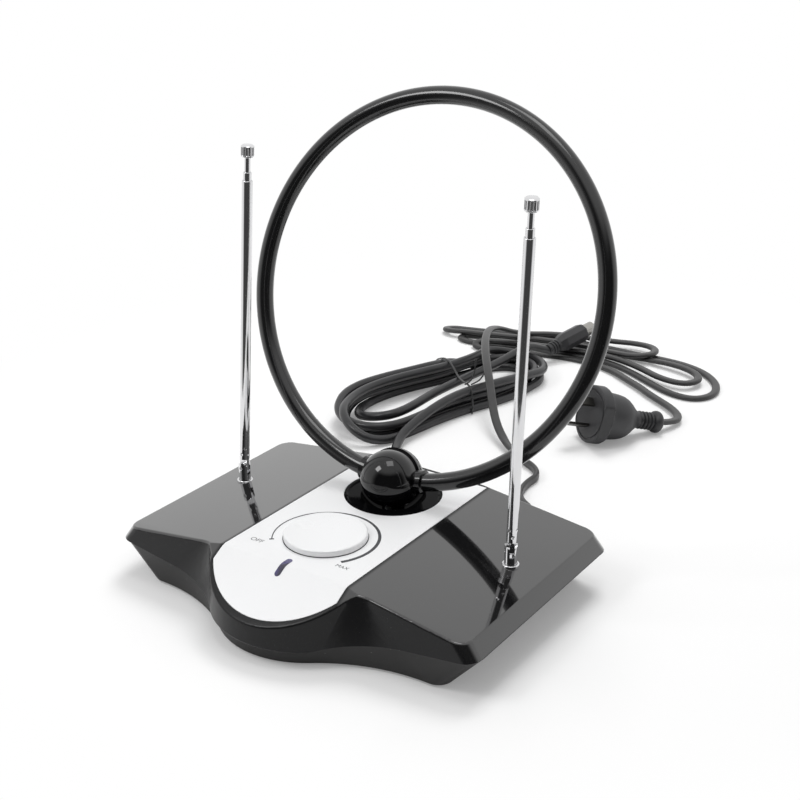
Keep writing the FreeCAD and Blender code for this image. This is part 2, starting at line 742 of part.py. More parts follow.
BALL_CENTRE = Vector(0, TURNTABLE_Y, PANEL_HEIGHT + BALL_LIFT)
SEAT_SPHERE = BALL_RADIUS + RUNNING_GAP
CUP_RADIUS = DOME_RADIUS + DOME_OFFSET + 2 * RUNNING_GAP
BOWL_RADIUS = CUP_RADIUS + BOWL_WALL
WASHER_SPHERE = BOWL_RADIUS + RUNNING_GAP


def at_turntable(shape):
    """Turns a piece with the turntable and sets it on its axis."""
    shape = shape.copy()
    shape.rotate(ORIGIN, Z_AXIS, LOOP_TURN)
    shape.translate(Vector(0, TURNTABLE_Y, 0))
    return shape


def at_ball(shape):
    """Leans a piece of the loop back, turns it and sets it at the ball's centre."""
    shape = shape.copy()
    shape.rotate(ORIGIN, X_AXIS, -LOOP_LEAN)
    shape.rotate(ORIGIN, Z_AXIS, LOOP_TURN)
    shape.translate(BALL_CENTRE)
    return shape


def make_turntable():
    """Dished disc with a bowl for the ball, a slot for its stud and a bearing ring below."""
    inner = BEARING_RADIUS - BEARING_WALL
    clip_inner = BEARING_RADIUS - CLIP_STEP
    clip_top = WELL_BOTTOM - RUNNING_GAP
    ring_bottom = clip_top - CLIP_THICKNESS - RUNNING_GAP
    rim = TURNTABLE_RADIUS - TURNTABLE_RIM_WIDTH
    disc = revolved(
        [
            (0, TURNTABLE_UNDER),
            (inner, TURNTABLE_UNDER),
            (inner, ring_bottom),
            (clip_inner, ring_bottom),
            (clip_inner, clip_top),
            (BEARING_RADIUS, clip_top),
            (BEARING_RADIUS, TURNTABLE_UNDER),
            (TURNTABLE_RADIUS, TURNTABLE_UNDER),
            (TURNTABLE_RADIUS, TURNTABLE_TOP),
            (rim, TURNTABLE_TOP),
            (rim - TURNTABLE_DISH, TURNTABLE_TOP - TURNTABLE_DISH),
            (0, TURNTABLE_TOP - TURNTABLE_DISH),
        ]
    )
    centre = Vector(0, 0, BALL_CENTRE.z)
    below_dish = cylinder(BOWL_RADIUS, 0, TURNTABLE_TOP - TURNTABLE_DISH)
    bowl = Part.makeSphere(BOWL_RADIUS, centre).common(below_dish)
    table = disc.fuse(bowl).cut(Part.makeSphere(CUP_RADIUS, centre))
    seat = cylinder(SEAT_RADIUS, BALL_CENTRE.z - CUP_RADIUS - WALL / 2, BALL_CENTRE.z - SEAT_SPHERE / 2)
    table = table.fuse(seat.cut(Part.makeSphere(SEAT_SPHERE, centre)))
    half = STUD_RADIUS + RUNNING_GAP
    reach = BOWL_RADIUS + WALL
    upright = [Vector(-half, half, -DOME_RADIUS), Vector(-half, half, -reach)]
    leaning = [Vector(-half, -half, -reach), Vector(-half, -half, -DOME_RADIUS)]
    turn = Rotation(X_AXIS, -LOOP_LEAN_LIMIT)
    leaning = [turn.multVec(point) for point in leaning]
    slot = face_of(upright + leaning).extrude(Vector(2 * half, 0, 0))
    slot.translate(centre)
    return at_turntable(table.cut(slot))


def make_turntable_clip():
    """Retaining ring that holds the turntable down in its well."""
    top = WELL_BOTTOM - RUNNING_GAP
    inner = BEARING_RADIUS - CLIP_STEP
    ring = cylinder(inner + CLIP_WIDTH, top - CLIP_THICKNESS, top)
    return at_turntable(ring.cut(cylinder(inner, 0, FAR)))


def loop_ring(radius, half_gap):
    """Ring of round section in the plane y = 0 with its lowest point at the origin and a gap there."""
    span = 360 - 2 * half_gap
    ring = Part.makeTorus(LOOP_RADIUS, radius, ORIGIN, Z_AXIS, -180, 180, span)
    ring.rotate(ORIGIN, X_AXIS, 90)
    ring.rotate(ORIGIN, Y_AXIS, 90 - half_gap)
    ring.translate(Vector(0, 0, LOOP_RADIUS))
    return ring


def make_ball_halves():
    """Deeper front dome and rear half of the ball, split along the loop's plane, collared round the loop."""
    collar = loop_ring(COLLAR_RADIUS, 0).common(Part.makeSphere(BALL_RADIUS + COLLAR_LENGTH))
    dome_at = Vector(0, -DOME_OFFSET, 0)
    dome = Part.makeSphere(DOME_RADIUS, dome_at)
    dome = dome.fuse(Part.makeCylinder(DOME_RADIUS, DOME_OFFSET, dome_at, Y_AXIS))
    far = 2 * BALL_RADIUS
    halves = []
    for form, y_span in ((dome, (-far, 0)), (Part.makeSphere(BALL_RADIUS), (0, far))):
        half = form.fuse(collar).common(box((-far, far), y_span, (-far, far)))
        head = cylinder(STUD_HEAD_RADIUS, -BALL_RADIUS + BALL_WALL, -LOOP_TUBE_RADIUS)
        shank = cylinder(STUD_RADIUS, -BALL_RADIUS - WALL, -BALL_RADIUS + BALL_WALL)
        half = half.cut([loop_ring(LOOP_TUBE_RADIUS, 0), head, shank])
        halves.append(at_ball(half))
    return halves


def make_uhf_loop():
    """Loop tube, open where its two ends meet inside the ball."""
    return at_ball(loop_ring(LOOP_TUBE_RADIUS, LOOP_END_GAP_ANGLE))


def make_ball_stud():
    """Headed stud that ties the ball to the turntable's bowl."""
    seat = -BALL_RADIUS + BALL_WALL
    head = cylinder(STUD_HEAD_RADIUS - SLIDING_GAP, seat, seat + STUD_HEAD_HEIGHT)
    return at_ball(head.fuse(cylinder(STUD_RADIUS, -STUD_LENGTH, seat)))


def make_friction_washer():
    """Cupped washer that rubs under the bowl."""
    shell = Part.makeSphere(WASHER_SPHERE + WASHER_THICKNESS).cut(Part.makeSphere(WASHER_SPHERE))
    ring = cylinder(WASHER_RADIUS, -STUD_LENGTH, 0).cut(cylinder(STUD_RADIUS, -STUD_LENGTH, 0))
    return at_ball(shell.common(ring))


def make_stud_nut():
    """Hexagon nut that sets the loop's friction."""
    top = -WASHER_SPHERE - WASHER_THICKNESS
    corner = STUD_NUT_ACROSS / math.sqrt(3)
    turns = [math.radians(60 * k) for k in range(6)]
    points = [Vector(corner * math.cos(turn), corner * math.sin(turn), top) for turn in turns]
    nut = face_of(points).extrude(Vector(0, 0, -STUD_NUT_HEIGHT))
    return at_ball(nut.cut(cylinder(STUD_RADIUS, -STUD_LENGTH, 0)))


# Telescopic rods

TUBE_START = TONGUE_LENGTH
MIDDLE_RADIUS = TUBE_RADIUS - TUBE_WALL - SLIDING_GAP
INNER_RADIUS = MIDDLE_RADIUS - TUBE_WALL - SLIDING_GAP
CAP_START = ROD_LENGTH - CAP_HEIGHT
INNER_START = CAP_START - INNER_SHOW
TUBE_END = INNER_START - MIDDLE_SHOW
MIDDLE_START = ROOT_LENGTH + TUBE_START + STAGE_LIFT


def on_wing(shape, side):
    """Sets a piece on a rod's upright axis."""
    shape = shape.copy()
    shape.translate(Vector(SIDES[side] * ROD_X, ROD_Y, 0))
    return shape


def at_swivel(shape, side):
    """Turns a piece with a rod's swivel and sets it on the upright axis."""
    shape = shape.copy()
    shape.rotate(ORIGIN, Z_AXIS, ROD_TURN[side])
    return on_wing(shape, side)


def at_pivot(shape, side):
    """Leans a piece of a rod and sets it at the rod's hinge."""
    shape = shape.copy()
    shape.rotate(ORIGIN, Y_AXIS, ROD_LEAN[side])
    shape.translate(Vector(0, 0, ROD_PIVOT_HEIGHT))
    return at_swivel(shape, side)


def make_rod_bush(side):
    """Plated ferrule that lines the hole in the wing."""
    bush = cylinder(BUSH_RADIUS, BUSH_BOTTOM, BUSH_TOP)
    rim = [edge for edge in bush.Edges if abs(edge.BoundBox.ZMin - BUSH_TOP) < 1e-6]
    bush = bush.makeFillet(BUSH_STAND / 2, rim)
    return on_wing(bush.cut(cylinder(FORK_RADIUS + SLIDING_GAP, 0, FAR)), side)


def make_swivel_fork(side):
    """Turning stud with a slotted, rounded head for the rod's tongue."""
    bottom = ROD_SURFACE - SWIVEL_DEPTH
    clip_top = BOSS_BOTTOM - RUNNING_GAP
    groove = clip_top - SWIVEL_CLIP_THICKNESS
    waist = FORK_RADIUS - 0.8
    top = ROD_PIVOT_HEIGHT + FORK_REACH
    fork = cylinder(FORK_RADIUS, bottom, top)
    fork = fork.cut(cylinder(FORK_RADIUS + WALL, groove, clip_top).cut(cylinder(waist, groove, clip_top)))
    dome_at = Vector(0, -2 * FORK_RADIUS, ROD_PIVOT_HEIGHT)
    dome = Part.makeCylinder(FORK_REACH, 4 * FORK_RADIUS, dome_at, Y_AXIS)
    head = box((-FAR, FAR), (-FAR, FAR), (ROD_PIVOT_HEIGHT, FAR)).cut(dome)
    half = FORK_SLOT / 2
    slot = box((-FAR, FAR), (-half, half), (ROD_PIVOT_HEIGHT - FORK_REACH - RUNNING_GAP, FAR))
    fork = fork.cut([head, slot])
    return at_swivel(fork.cut(hinge_hole(0.0)), side)


def hinge_hole(gap):
    """Cross hole for the hinge pin at the rod's pivot."""
    reach = 2 * FORK_RADIUS
    return Part.makeCylinder(HINGE_PIN_RADIUS + gap, 2 * reach, Vector(0, -reach, ROD_PIVOT_HEIGHT), Y_AXIS)


def make_swivel_clip(side):
    """Retaining clip in the swivel's groove under the wing."""
    top = BOSS_BOTTOM - RUNNING_GAP
    clip = cylinder(SWIVEL_CLIP_RADIUS, top - SWIVEL_CLIP_THICKNESS, top)
    clip = clip.cut(cylinder(FORK_RADIUS - 0.8, 0, FAR))
    mouth = FORK_RADIUS - 1.0
    return at_swivel(clip.cut(box((0, FAR), (-mouth, mouth), (0, FAR))), side)


def make_hinge_pin(side):
    """Rivet through the fork and the rod's tongue."""
    half = FORK_RADIUS - RUNNING_GAP
    start = Vector(0, -half, ROD_PIVOT_HEIGHT)
    return at_swivel(Part.makeCylinder(HINGE_PIN_RADIUS, 2 * half, start, Y_AXIS), side)


def make_rod_root(side):
    """Flattened tongue with a round plug that the tube is crimped on."""
    half = FORK_SLOT / 2 - SLIDING_GAP
    eye = Part.makeCylinder(TONGUE_HALF_WIDTH, 2 * half, Vector(0, -half, 0), Y_AXIS)
    blade = box((-TONGUE_HALF_WIDTH, TONGUE_HALF_WIDTH), (-half, half), (0, TONGUE_LENGTH))
    plug = cylinder(TUBE_RADIUS - TUBE_WALL, TONGUE_LENGTH, TONGUE_LENGTH + ROOT_LENGTH)
    hole = Part.makeCylinder(HINGE_PIN_RADIUS + SLIDING_GAP / 2, 4 * half, Vector(0, -2 * half, 0), Y_AXIS)
    return at_pivot(eye.fuse([blade, plug]).cut(hole), side)


def lipped_tube(radius, wall, start, end, lip_radius):
    """Tube whose upper end is rolled in over the next section."""
    tube = cylinder(radius, start, end).cut(cylinder(radius - wall, start, end - TUBE_LIP))
    rim = [edge for edge in tube.Edges if abs(edge.BoundBox.ZMin - end) < 1e-6]
    tube = tube.makeFillet(wall, rim)
    return tube.cut(cylinder(lip_radius + SLIDING_GAP / 2, start, end))


def make_rod_tube(side):
    """Outer tube, dimpled where it is crimped to the root."""
    tube = lipped_tube(TUBE_RADIUS, TUBE_WALL, TUBE_START, TUBE_END, MIDDLE_RADIUS)
    ball = 0.9
    rows = [TUBE_START + ROOT_LENGTH * share for share in (0.35, 0.75)]
    for row, height in enumerate(rows):
        for k in range(4):
            turn = math.radians(90 * k + 45 * row)
            reach = TUBE_RADIUS + ball - TUBE_WALL * 0.75
            at = Vector(reach * math.cos(turn), reach * math.sin(turn), height)
            tube = tube.cut(Part.makeSphere(ball, at))
    return at_pivot(tube, side)


def make_rod_middle(side):
    """Middle tube, drawn out of the outer one."""
    return at_pivot(lipped_tube(MIDDLE_RADIUS, TUBE_WALL, MIDDLE_START, INNER_START, INNER_RADIUS), side)


def make_rod_inner(side):
    """Inner rod, drawn out of the middle tube."""
    return at_pivot(cylinder(INNER_RADIUS, MIDDLE_START + STAGE_LIFT, CAP_START), side)


def make_rod_cap(side):
    """Fluted cap on the inner rod's end."""
    cap = cylinder(CAP_RADIUS, CAP_START, ROD_LENGTH)
    rims = [edge for edge in cap.Edges if edge.BoundBox.ZLength < 1e-6]
    cap = cap.makeChamfer(CAP_FLUTE_RADIUS, rims)
    flutes = []
    for k in range(CAP_FLUTES):
        turn = 2 * math.pi * k / CAP_FLUTES
        at = (CAP_RADIUS * math.cos(turn), CAP_RADIUS * math.sin(turn))
        flutes.append(cylinder(CAP_FLUTE_RADIUS, CAP_START + 1, ROD_LENGTH - 1, *at))
    return at_pivot(cap.cut(flutes), side)


# Inside the base


def contact_height():
    """Height of the posts that carry the rods' contact blades."""
    return ROD_SURFACE - SWIVEL_DEPTH - RUNNING_GAP - CONTACT_THICKNESS


def make_contact_blade(side):
    """Spring blade from its post to the underside of a rod's swivel."""
    low = contact_height()
    high = low + CONTACT_THICKNESS
    half = CONTACT_WIDTH / 2
    blade = box((-CONTACT_REACH - half, half), (-half, half), (low, high))
    if SIDES[side] < 0:
        blade = mirrored(blade)
    return on_wing(blade, side)


def make_amplifier_board():
    """Amplifier's circuit board, cut round at its front corners to fit the nose."""
    high = BOARD_HEIGHT + BOARD_THICKNESS
    x_span = (-BOARD_HALF_WIDTH, BOARD_HALF_WIDTH)
    board = box(x_span, (BOARD_FRONT_Y, BOARD_REAR_Y), (BOARD_HEIGHT, high))
    front = [e for e in board.Edges if e.BoundBox.ZLength > 1 and e.BoundBox.YMax < CREASE_Y]
    board = board.makeFillet(BOARD_POST_INSET, front)
    holes = [cylinder(BOARD_SCREW_RADIUS + SLIDING_GAP, 0, FAR, x, y) for x, y in board_post_places()]
    return board.cut(holes)


def make_board_screws():
    """Screws that hold the board on its posts."""
    screws = []
    top = BOARD_HEIGHT + BOARD_THICKNESS
    for x, y in board_post_places():
        head = cylinder(BOARD_SCREW_HEAD_RADIUS, top, top + BOARD_SCREW_HEAD_HEIGHT, x, y)
        screws.append(head.fuse(cylinder(BOARD_SCREW_RADIUS, top - BOARD_SCREW_LENGTH, top, x, y)))
    return Part.makeCompound(screws)


def make_indicator_led():
    """Small domed lamp on the board under the window."""
    base = BOARD_HEIGHT + BOARD_THICKNESS
    top = base + LED_HEIGHT
    led = cylinder(LED_RADIUS, base, top, 0, CREASE_Y + LED_RADIUS)
    return led.fuse(Part.makeSphere(LED_RADIUS, Vector(0, CREASE_Y + LED_RADIUS, top)))


def core_windows():
    """Spans of the two windows in the transformer's core, along X."""
    half = CORE_WIDTH / 2
    return [(CORE_LIMB / 2, half - CORE_LIMB / 2), (-half + CORE_LIMB / 2, -CORE_LIMB / 2)]


def make_transformer_core():
    """Stacked core with two windows for the winding."""
    half = CORE_WIDTH / 2
    top = FLOOR_TOP + CORE_HEIGHT
    core = box((-half, half), (-CORE_DEPTH / 4, CORE_DEPTH / 4), (FLOOR_TOP, top))
    low = FLOOR_TOP + CORE_LIMB / 2
    high = top - CORE_LIMB / 2
    core = core.cut([box(span, (-FAR, FAR), (low, high)) for span in core_windows()])
    core.translate(Vector(CORE_X, CORE_Y, 0))
    return core


def make_transformer_winding():
    """Taped winding round the core's middle limb."""
    half_y = CORE_DEPTH / 2
    low = FLOOR_TOP + CORE_LIMB / 2 + WINDING_GAP
    high = FLOOR_TOP + CORE_HEIGHT - CORE_LIMB / 2 - WINDING_GAP
    reach = CORE_WIDTH / 2 - CORE_LIMB / 2 - WINDING_GAP
    winding = box((-reach, reach), (-half_y, half_y), (low, high))
    upright = [e for e in winding.Edges if e.BoundBox.ZLength > WALL]
    winding = winding.makeFillet(CORE_LIMB / 2, upright)
    limb = box((-CORE_LIMB / 2, CORE_LIMB / 2), (-CORE_DEPTH / 4, CORE_DEPTH / 4), (0, FAR))
    winding = winding.cut(limb)
    winding.translate(Vector(CORE_X, CORE_Y, 0))
    return winding


def make_housing_screws():
    """Screws that join the two housings from below."""
    screws = []
    for x, y in screw_places():
        head = cylinder(SCREW_HEAD_RADIUS, SCREW_SEAT_HEIGHT - SCREW_HEAD_HEIGHT, SCREW_SEAT_HEIGHT, x, y)
        shank = cylinder(SCREW_RADIUS, SCREW_SEAT_HEIGHT, SCREW_SEAT_HEIGHT + SCREW_LENGTH, x, y)
        screws.append(head.fuse(shank))
    return Part.makeCompound(screws)


def make_rubber_feet():
    """Soft feet in their recesses."""
    return Part.makeCompound(
        [cylinder(FOOT_RADIUS, 0, BOTTOM_HEIGHT + FOOT_RECESS, x, y) for x, y in foot_places()]
    )


# Cords


def rounded_path(points):
    """Wire of straight runs joined by tangent arcs as large as the runs allow."""
    points = [Vector(*p) for p in points]
    edges = []
    start = points[0]
    radii = []
    for before, corner, after in zip(points, points[1:], points[2:]):
        into = (before - corner).normalize()
        out = (after - corner).normalize()
        turn = math.pi - into.getAngle(out)
        back = 0.45 * min(before.distanceToPoint(corner), after.distanceToPoint(corner))
        radius = back / math.tan(turn / 2)
        radii.append(round(radius, 1))
        first = corner + into * back
        last = corner + out * back
        bisector = (into + out).normalize()
        middle = corner + bisector * (radius / math.cos(turn / 2) - radius)
        edges.append(Part.makeLine(start, first))
        edges.append(arc(first, middle, last))
        start = last
    edges.append(Part.makeLine(start, points[-1]))
    return Part.Wire(edges), radii


def cord_tube(name, route, section):
    """Tube of a cord's section along its route."""
    path, radii = rounded_path(route)
    start = Vector(*route[0])
    heading = (Vector(*route[1]) - start).normalize()
    profile = Part.Wire(section)
    turn = Rotation(Y_AXIS, heading)
    profile.Placement = Placement(start, turn)
    tube = path.makePipeShell([profile], True, True)
    area = Part.Face(profile).Area
    share = tube.Volume / (area * path.Length)
    print(name, "radii", radii, "length", round(path.Length, 1), "volume ratio", round(share, 4))
    return tube


def round_section(radius):
    """Circle in the plane y = 0."""
    return [Part.makeCircle(radius, ORIGIN, Y_AXIS)]


def flat_section(width, thickness):
    """Flat two-core lead's section in the plane y = 0."""
    half = thickness / 2
    reach = width / 2 - half
    corners = [Vector(x, 0, z) for x, z in ((-reach, half), (reach, half), (reach, -half), (-reach, -half))]
    return [
        Part.makeLine(corners[0], corners[1]),
        arc(corners[1], Vector(width / 2, 0, 0), corners[2]),
        Part.makeLine(corners[2], corners[3]),
        arc(corners[3], Vector(-width / 2, 0, 0), corners[0]),
    ]


def stadium(start, end, half_width, low, high):
    """Upright solid with round ends between two points."""
    along = (end - start).normalize()
    side = Vector(-along.y, along.x, 0) * half_width
    lift = Vector(0, 0, low)
    wire = Part.Wire(
        [
            Part.makeLine(start - side + lift, end - side + lift),
            arc(end - side + lift, end + along * half_width + lift, end + side + lift),
            Part.makeLine(end + side + lift, start + side + lift),
            arc(start + side + lift, start - along * half_width + lift, start - side + lift),
        ]
    )
    return Part.Face(wire).extrude(Vector(0, 0, high - low))


def make_gland(x, opening):
    """Tapered, grooved sleeve that carries a cord out of the rear wall."""
    wall_y = OUTLET_WALL_Y
    inside = wall_y - GLAND_INSIDE
    thick = opening + GLAND_WALL
    thin = opening + GLAND_WALL / 2
    sleeve = Part.makeCone(thick, thin, GLAND_LENGTH, Vector(0, wall_y, 0), Y_AXIS)
    plug = Part.makeCylinder(thick, GLAND_INSIDE, Vector(0, inside, 0), Y_AXIS)
    flange_at = Vector(0, inside - GLAND_FLANGE, 0)
    flange = Part.makeCylinder(thick + GLAND_FLANGE, GLAND_FLANGE, flange_at, Y_AXIS)
    flange = flange.cut(box((-FAR, FAR), (-FAR, FAR), (-FAR, FLOOR_TOP + SLIDING_GAP / 2 - OUTLET_HEIGHT)))
    sleeve = sleeve.fuse([plug, flange])
    for share in (0.35, 0.5, 0.65, 0.8):
        y = wall_y + GLAND_LENGTH * share
        ring = Part.makeCylinder(2 * thick, GLAND_WALL / 2, Vector(0, y, 0), Y_AXIS)
        groove = ring.cut(Part.makeCylinder(thin, GLAND_WALL / 2, Vector(0, y, 0), Y_AXIS))
        sleeve = sleeve.cut(groove)
    bore = Part.makeCylinder(opening, GLAND_LENGTH, Vector(0, OUTLET_END_Y, 0), Y_AXIS)
    sleeve = sleeve.cut(bore)
    sleeve.translate(Vector(x, 0, OUTLET_HEIGHT))
    return sleeve


def coax_oval(grow):
    """Outer form of the coaxial hank about its own centre, grown on its sides and top."""
    reach = Vector(0, COAX_HANK_HALF_LENGTH - COAX_HANK_HALF_WIDTH, 0)
    return stadium(-reach, reach, COAX_HANK_HALF_WIDTH + grow, 0, COAX_HANK_HEIGHT + max(grow, 0))


def at_coax_hank(shape):
    """Turns a piece of the coaxial hank and lays it in its place."""
    shape.rotate(ORIGIN, Z_AXIS, COAX_HANK_TURN)
    shape.translate(COAX_HANK_CENTRE)
    return shape


def make_coax_hank():
    """Outer form of the tied coaxial hank: an oval ring lying on the table."""
    return at_coax_hank(coax_oval(0).cut(coax_oval(-COAX_HANK_BUNDLE)))


def make_coax_tie():
    """Wire tie that slants across the hank and down both of its sides."""
    strip = box((-FAR, FAR), (-TIE_WIDTH / 2, TIE_WIDTH / 2), (0, FAR))
    strip.rotate(ORIGIN, Z_AXIS, TIE_SLANT)
    return at_coax_hank(coax_oval(TIE_THICKNESS).cut(coax_oval(0)).common(strip))


def make_mains_hank():
    """Outer form of the folded mains lead: a narrow bundle that fans out at one end."""
    left = stadium(*MAINS_HANK_LEFT, 0, MAINS_HANK_HEIGHT)
    start, end, half = MAINS_HANK_RIGHT
    right = stadium(start, end, half, 0, MAINS_HANK_HEIGHT)
    hole = stadium(start + (end - start) * 0.35, end, half - 2 * MAINS_WIDTH, 0, MAINS_HANK_HEIGHT)
    return left.fuse(right.cut(hole))


def along(shape, start, end):
    """Sets a piece that was drawn along +Z on the line between two points, its +X side turned down."""
    shape = shape.copy()
    heading = end - start
    shape.rotate(ORIGIN, Z_AXIS, math.degrees(math.atan2(heading.y, heading.x)))
    shape.Placement = Placement(start, Rotation(Z_AXIS, heading)).multiply(shape.Placement)
    return shape


COAX_PLUG_LENGTH = COAX_PLUG_REAR.distanceToPoint(COAX_PLUG_FRONT)


def make_coax_plug():
    """Moulded plug body with a thinner grip towards the cord."""
    length = COAX_PLUG_LENGTH
    body = revolved(
        [
            (0, 0),
            (COAX_RADIUS + 1.5, 0),
            (COAX_RADIUS + 2, 0.3 * length),
            (COAX_PLUG_RADIUS, 0.42 * length),
            (COAX_PLUG_RADIUS, length),
            (0, length),
        ]
    )
    return along(body, COAX_PLUG_REAR, COAX_PLUG_FRONT)


def make_coax_shell():
    """Metal sleeve of the aerial connector."""
    sleeve = cylinder(COAX_SHELL_RADIUS, COAX_PLUG_LENGTH, COAX_PLUG_LENGTH + COAX_SHELL_LENGTH)
    sleeve = sleeve.cut(cylinder(COAX_SHELL_BORE, COAX_PLUG_LENGTH, FAR))
    return along(sleeve, COAX_PLUG_REAR, COAX_PLUG_FRONT)


def make_coax_pin():
    """Centre pin of the aerial connector."""
    pin = cylinder(COAX_PIN_RADIUS, COAX_PLUG_LENGTH, COAX_PLUG_LENGTH + COAX_SHELL_LENGTH)
    return along(pin, COAX_PLUG_REAR, COAX_PLUG_FRONT)


MAINS_PLUG_LENGTH = MAINS_PLUG_REAR.distanceToPoint(MAINS_PLUG_FACE)


def at_plug(shape):
    """Sets a piece of the mains plug, drawn with its face up, where the plug lies."""
    return along(shape, MAINS_PLUG_REAR, MAINS_PLUG_FACE)


def make_mains_plug():
    """Moulded plug: bulb and ribbed neck, bell and a round face with two flats."""
    length = MAINS_PLUG_LENGTH
    rim = length - PLUG_RIM
    neck = PLUG_NECK_RADIUS
    body = revolved(
        [
            (0, 0),
            (PLUG_BULB_RADIUS - 1.5, 0),
            (PLUG_BULB_RADIUS, 1.5),
            (PLUG_BULB_RADIUS, 4.5),
            (PLUG_BULB_RADIUS - 1.5, 6),
            (neck, 6),
            (neck + 0.6, 17),
            (PLUG_BELL_RADIUS - 3, 24),
            (PLUG_BELL_RADIUS, 29),
            (PLUG_BELL_RADIUS + 1.5, rim - 1),
            (PLUG_FACE_RADIUS - 1, rim),
            (PLUG_FACE_RADIUS, rim + 1),
            (PLUG_FACE_RADIUS, length - 1),
            (PLUG_FACE_RADIUS - 1, length),
            (0, length),
        ]
    )
    for rib in (7.5, 10, 12.5, 15):
        ring = cylinder(2 * neck, rib, rib + 1.2).cut(cylinder(neck - 1, rib, rib + 1.2))
        body = body.cut(ring)
    for side in (-1, 1):
        span = sorted((side * PLUG_FLAT, side * FAR))
        body = body.cut(box((-FAR, FAR), span, (rim - 1, FAR)))
    return at_plug(body)


def make_plug_pins():
    """Two flat pins, set at an angle to each other."""
    pins = []
    for side in (-1, 1):
        pin = box(
            (-PIN_WIDTH / 2, PIN_WIDTH / 2),
            (-PIN_THICKNESS / 2, PIN_THICKNESS / 2),
            (MAINS_PLUG_LENGTH, MAINS_PLUG_LENGTH + PIN_LENGTH),
        )
        pin.rotate(ORIGIN, Z_AXIS, 90 + side * PIN_TILT)
        pin.translate(Vector(side * PIN_CENTRE_OFFSET, 0, 0))
        pins.append(pin)
    return at_plug(Part.makeCompound(pins))


def build_base():
    """Housings, panel, gain control, indicator and what the base holds inside."""
    add("upper_housing", make_upper_housing())
    add("lower_housing", make_lower_housing())
    add("fascia_panel", make_fascia_panel())
    add("led_window", make_led_window())
    add("gain_knob", make_gain_knob())
    add("pot_shaft", make_pot_shaft())
    add("potentiometer", make_potentiometer())
    add("amplifier_board", make_amplifier_board())
    add("board_screws", make_board_screws())
    add("indicator_led", make_indicator_led())
    add("transformer_core", make_transformer_core())
    add("transformer_winding", make_transformer_winding())
    add("housing_screws", make_housing_screws())
    add("rubber_feet", make_rubber_feet())


def build_loop():
    """Turntable, ball and loop."""
    front, rear = make_ball_halves()
    add("turntable", make_turntable())
    add("turntable_clip", make_turntable_clip())
    add("loop_ball_front", front)
    add("loop_ball_rear", rear)
    add("uhf_loop", make_uhf_loop())
    add("ball_stud", make_ball_stud())
    add("friction_washer", make_friction_washer())
    add("stud_nut", make_stud_nut())


def build_rods():
    """The two telescopic rods with their swivels."""
    for side in SIDES:
        add(f"{side}_rod_bush", make_rod_bush(side))
        add(f"{side}_swivel_fork", make_swivel_fork(side))
        add(f"{side}_swivel_clip", make_swivel_clip(side))
        add(f"{side}_contact_blade", make_contact_blade(side))
        add(f"{side}_hinge_pin", make_hinge_pin(side))
        add(f"{side}_rod_root", make_rod_root(side))
        add(f"{side}_rod_tube", make_rod_tube(side))
        add(f"{side}_rod_middle", make_rod_middle(side))
        add(f"{side}_rod_inner", make_rod_inner(side))
        add(f"{side}_rod_cap", make_rod_cap(side))


def build_cords():
    """Aerial cord and mains lead, from their glands to their plugs."""
    coax = round_section(COAX_RADIUS)
    mains = flat_section(MAINS_WIDTH, MAINS_THICKNESS)
    add("coax_gland", make_gland(COAX_OUTLET_X, COAX_RADIUS))
    add("mains_gland", make_gland(MAINS_OUTLET_X, MAINS_WIDTH / 2))
    coax_start = (COAX_OUTLET_X, OUTLET_END_Y, OUTLET_HEIGHT)
    mains_start = (MAINS_OUTLET_X, OUTLET_END_Y, OUTLET_HEIGHT)
    add("coax_lead", cord_tube("coax_lead", [coax_start] + COAX_LEAD_ROUTE, coax))
    add("coax_hank", make_coax_hank())
    add("coax_tie", make_coax_tie())
    add("coax_tail", cord_tube("coax_tail", COAX_TAIL_ROUTE + [tuple(COAX_PLUG_REAR)], coax))
    add("coax_plug", make_coax_plug())
    add("coax_shell", make_coax_shell())
    add("coax_pin", make_coax_pin())
    add("mains_lead", cord_tube("mains_lead", [mains_start] + MAINS_LEAD_ROUTE, mains))
    add("mains_hank", make_mains_hank())
    add("mains_tail", cord_tube("mains_tail", MAINS_TAIL_ROUTE + [tuple(MAINS_PLUG_REAR)], mains))
    add("mains_plug", make_mains_plug())
    add("plug_pins", make_plug_pins())


def main():
    """Builds every piece and writes one file for each."""
    build_base()
    build_loop()
    build_rods()
    build_cords()
    os.makedirs("parts", exist_ok=True)
    for name, shape in PARTS.items():
        shape.exportStep(os.path.join("parts", f"{name}.step"))
    print(len(PARTS), "pieces")


main()
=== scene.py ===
"""Looks of an indoor television antenna: winged base, loop on a ball, two telescopic rods and two leads."""

from __future__ import annotations

import json
import logging
import math
from dataclasses import dataclass
from enum import Enum
from typing import Any, Iterable, Sequence

import bmesh
import bpy
from mathutils import Matrix, Vector

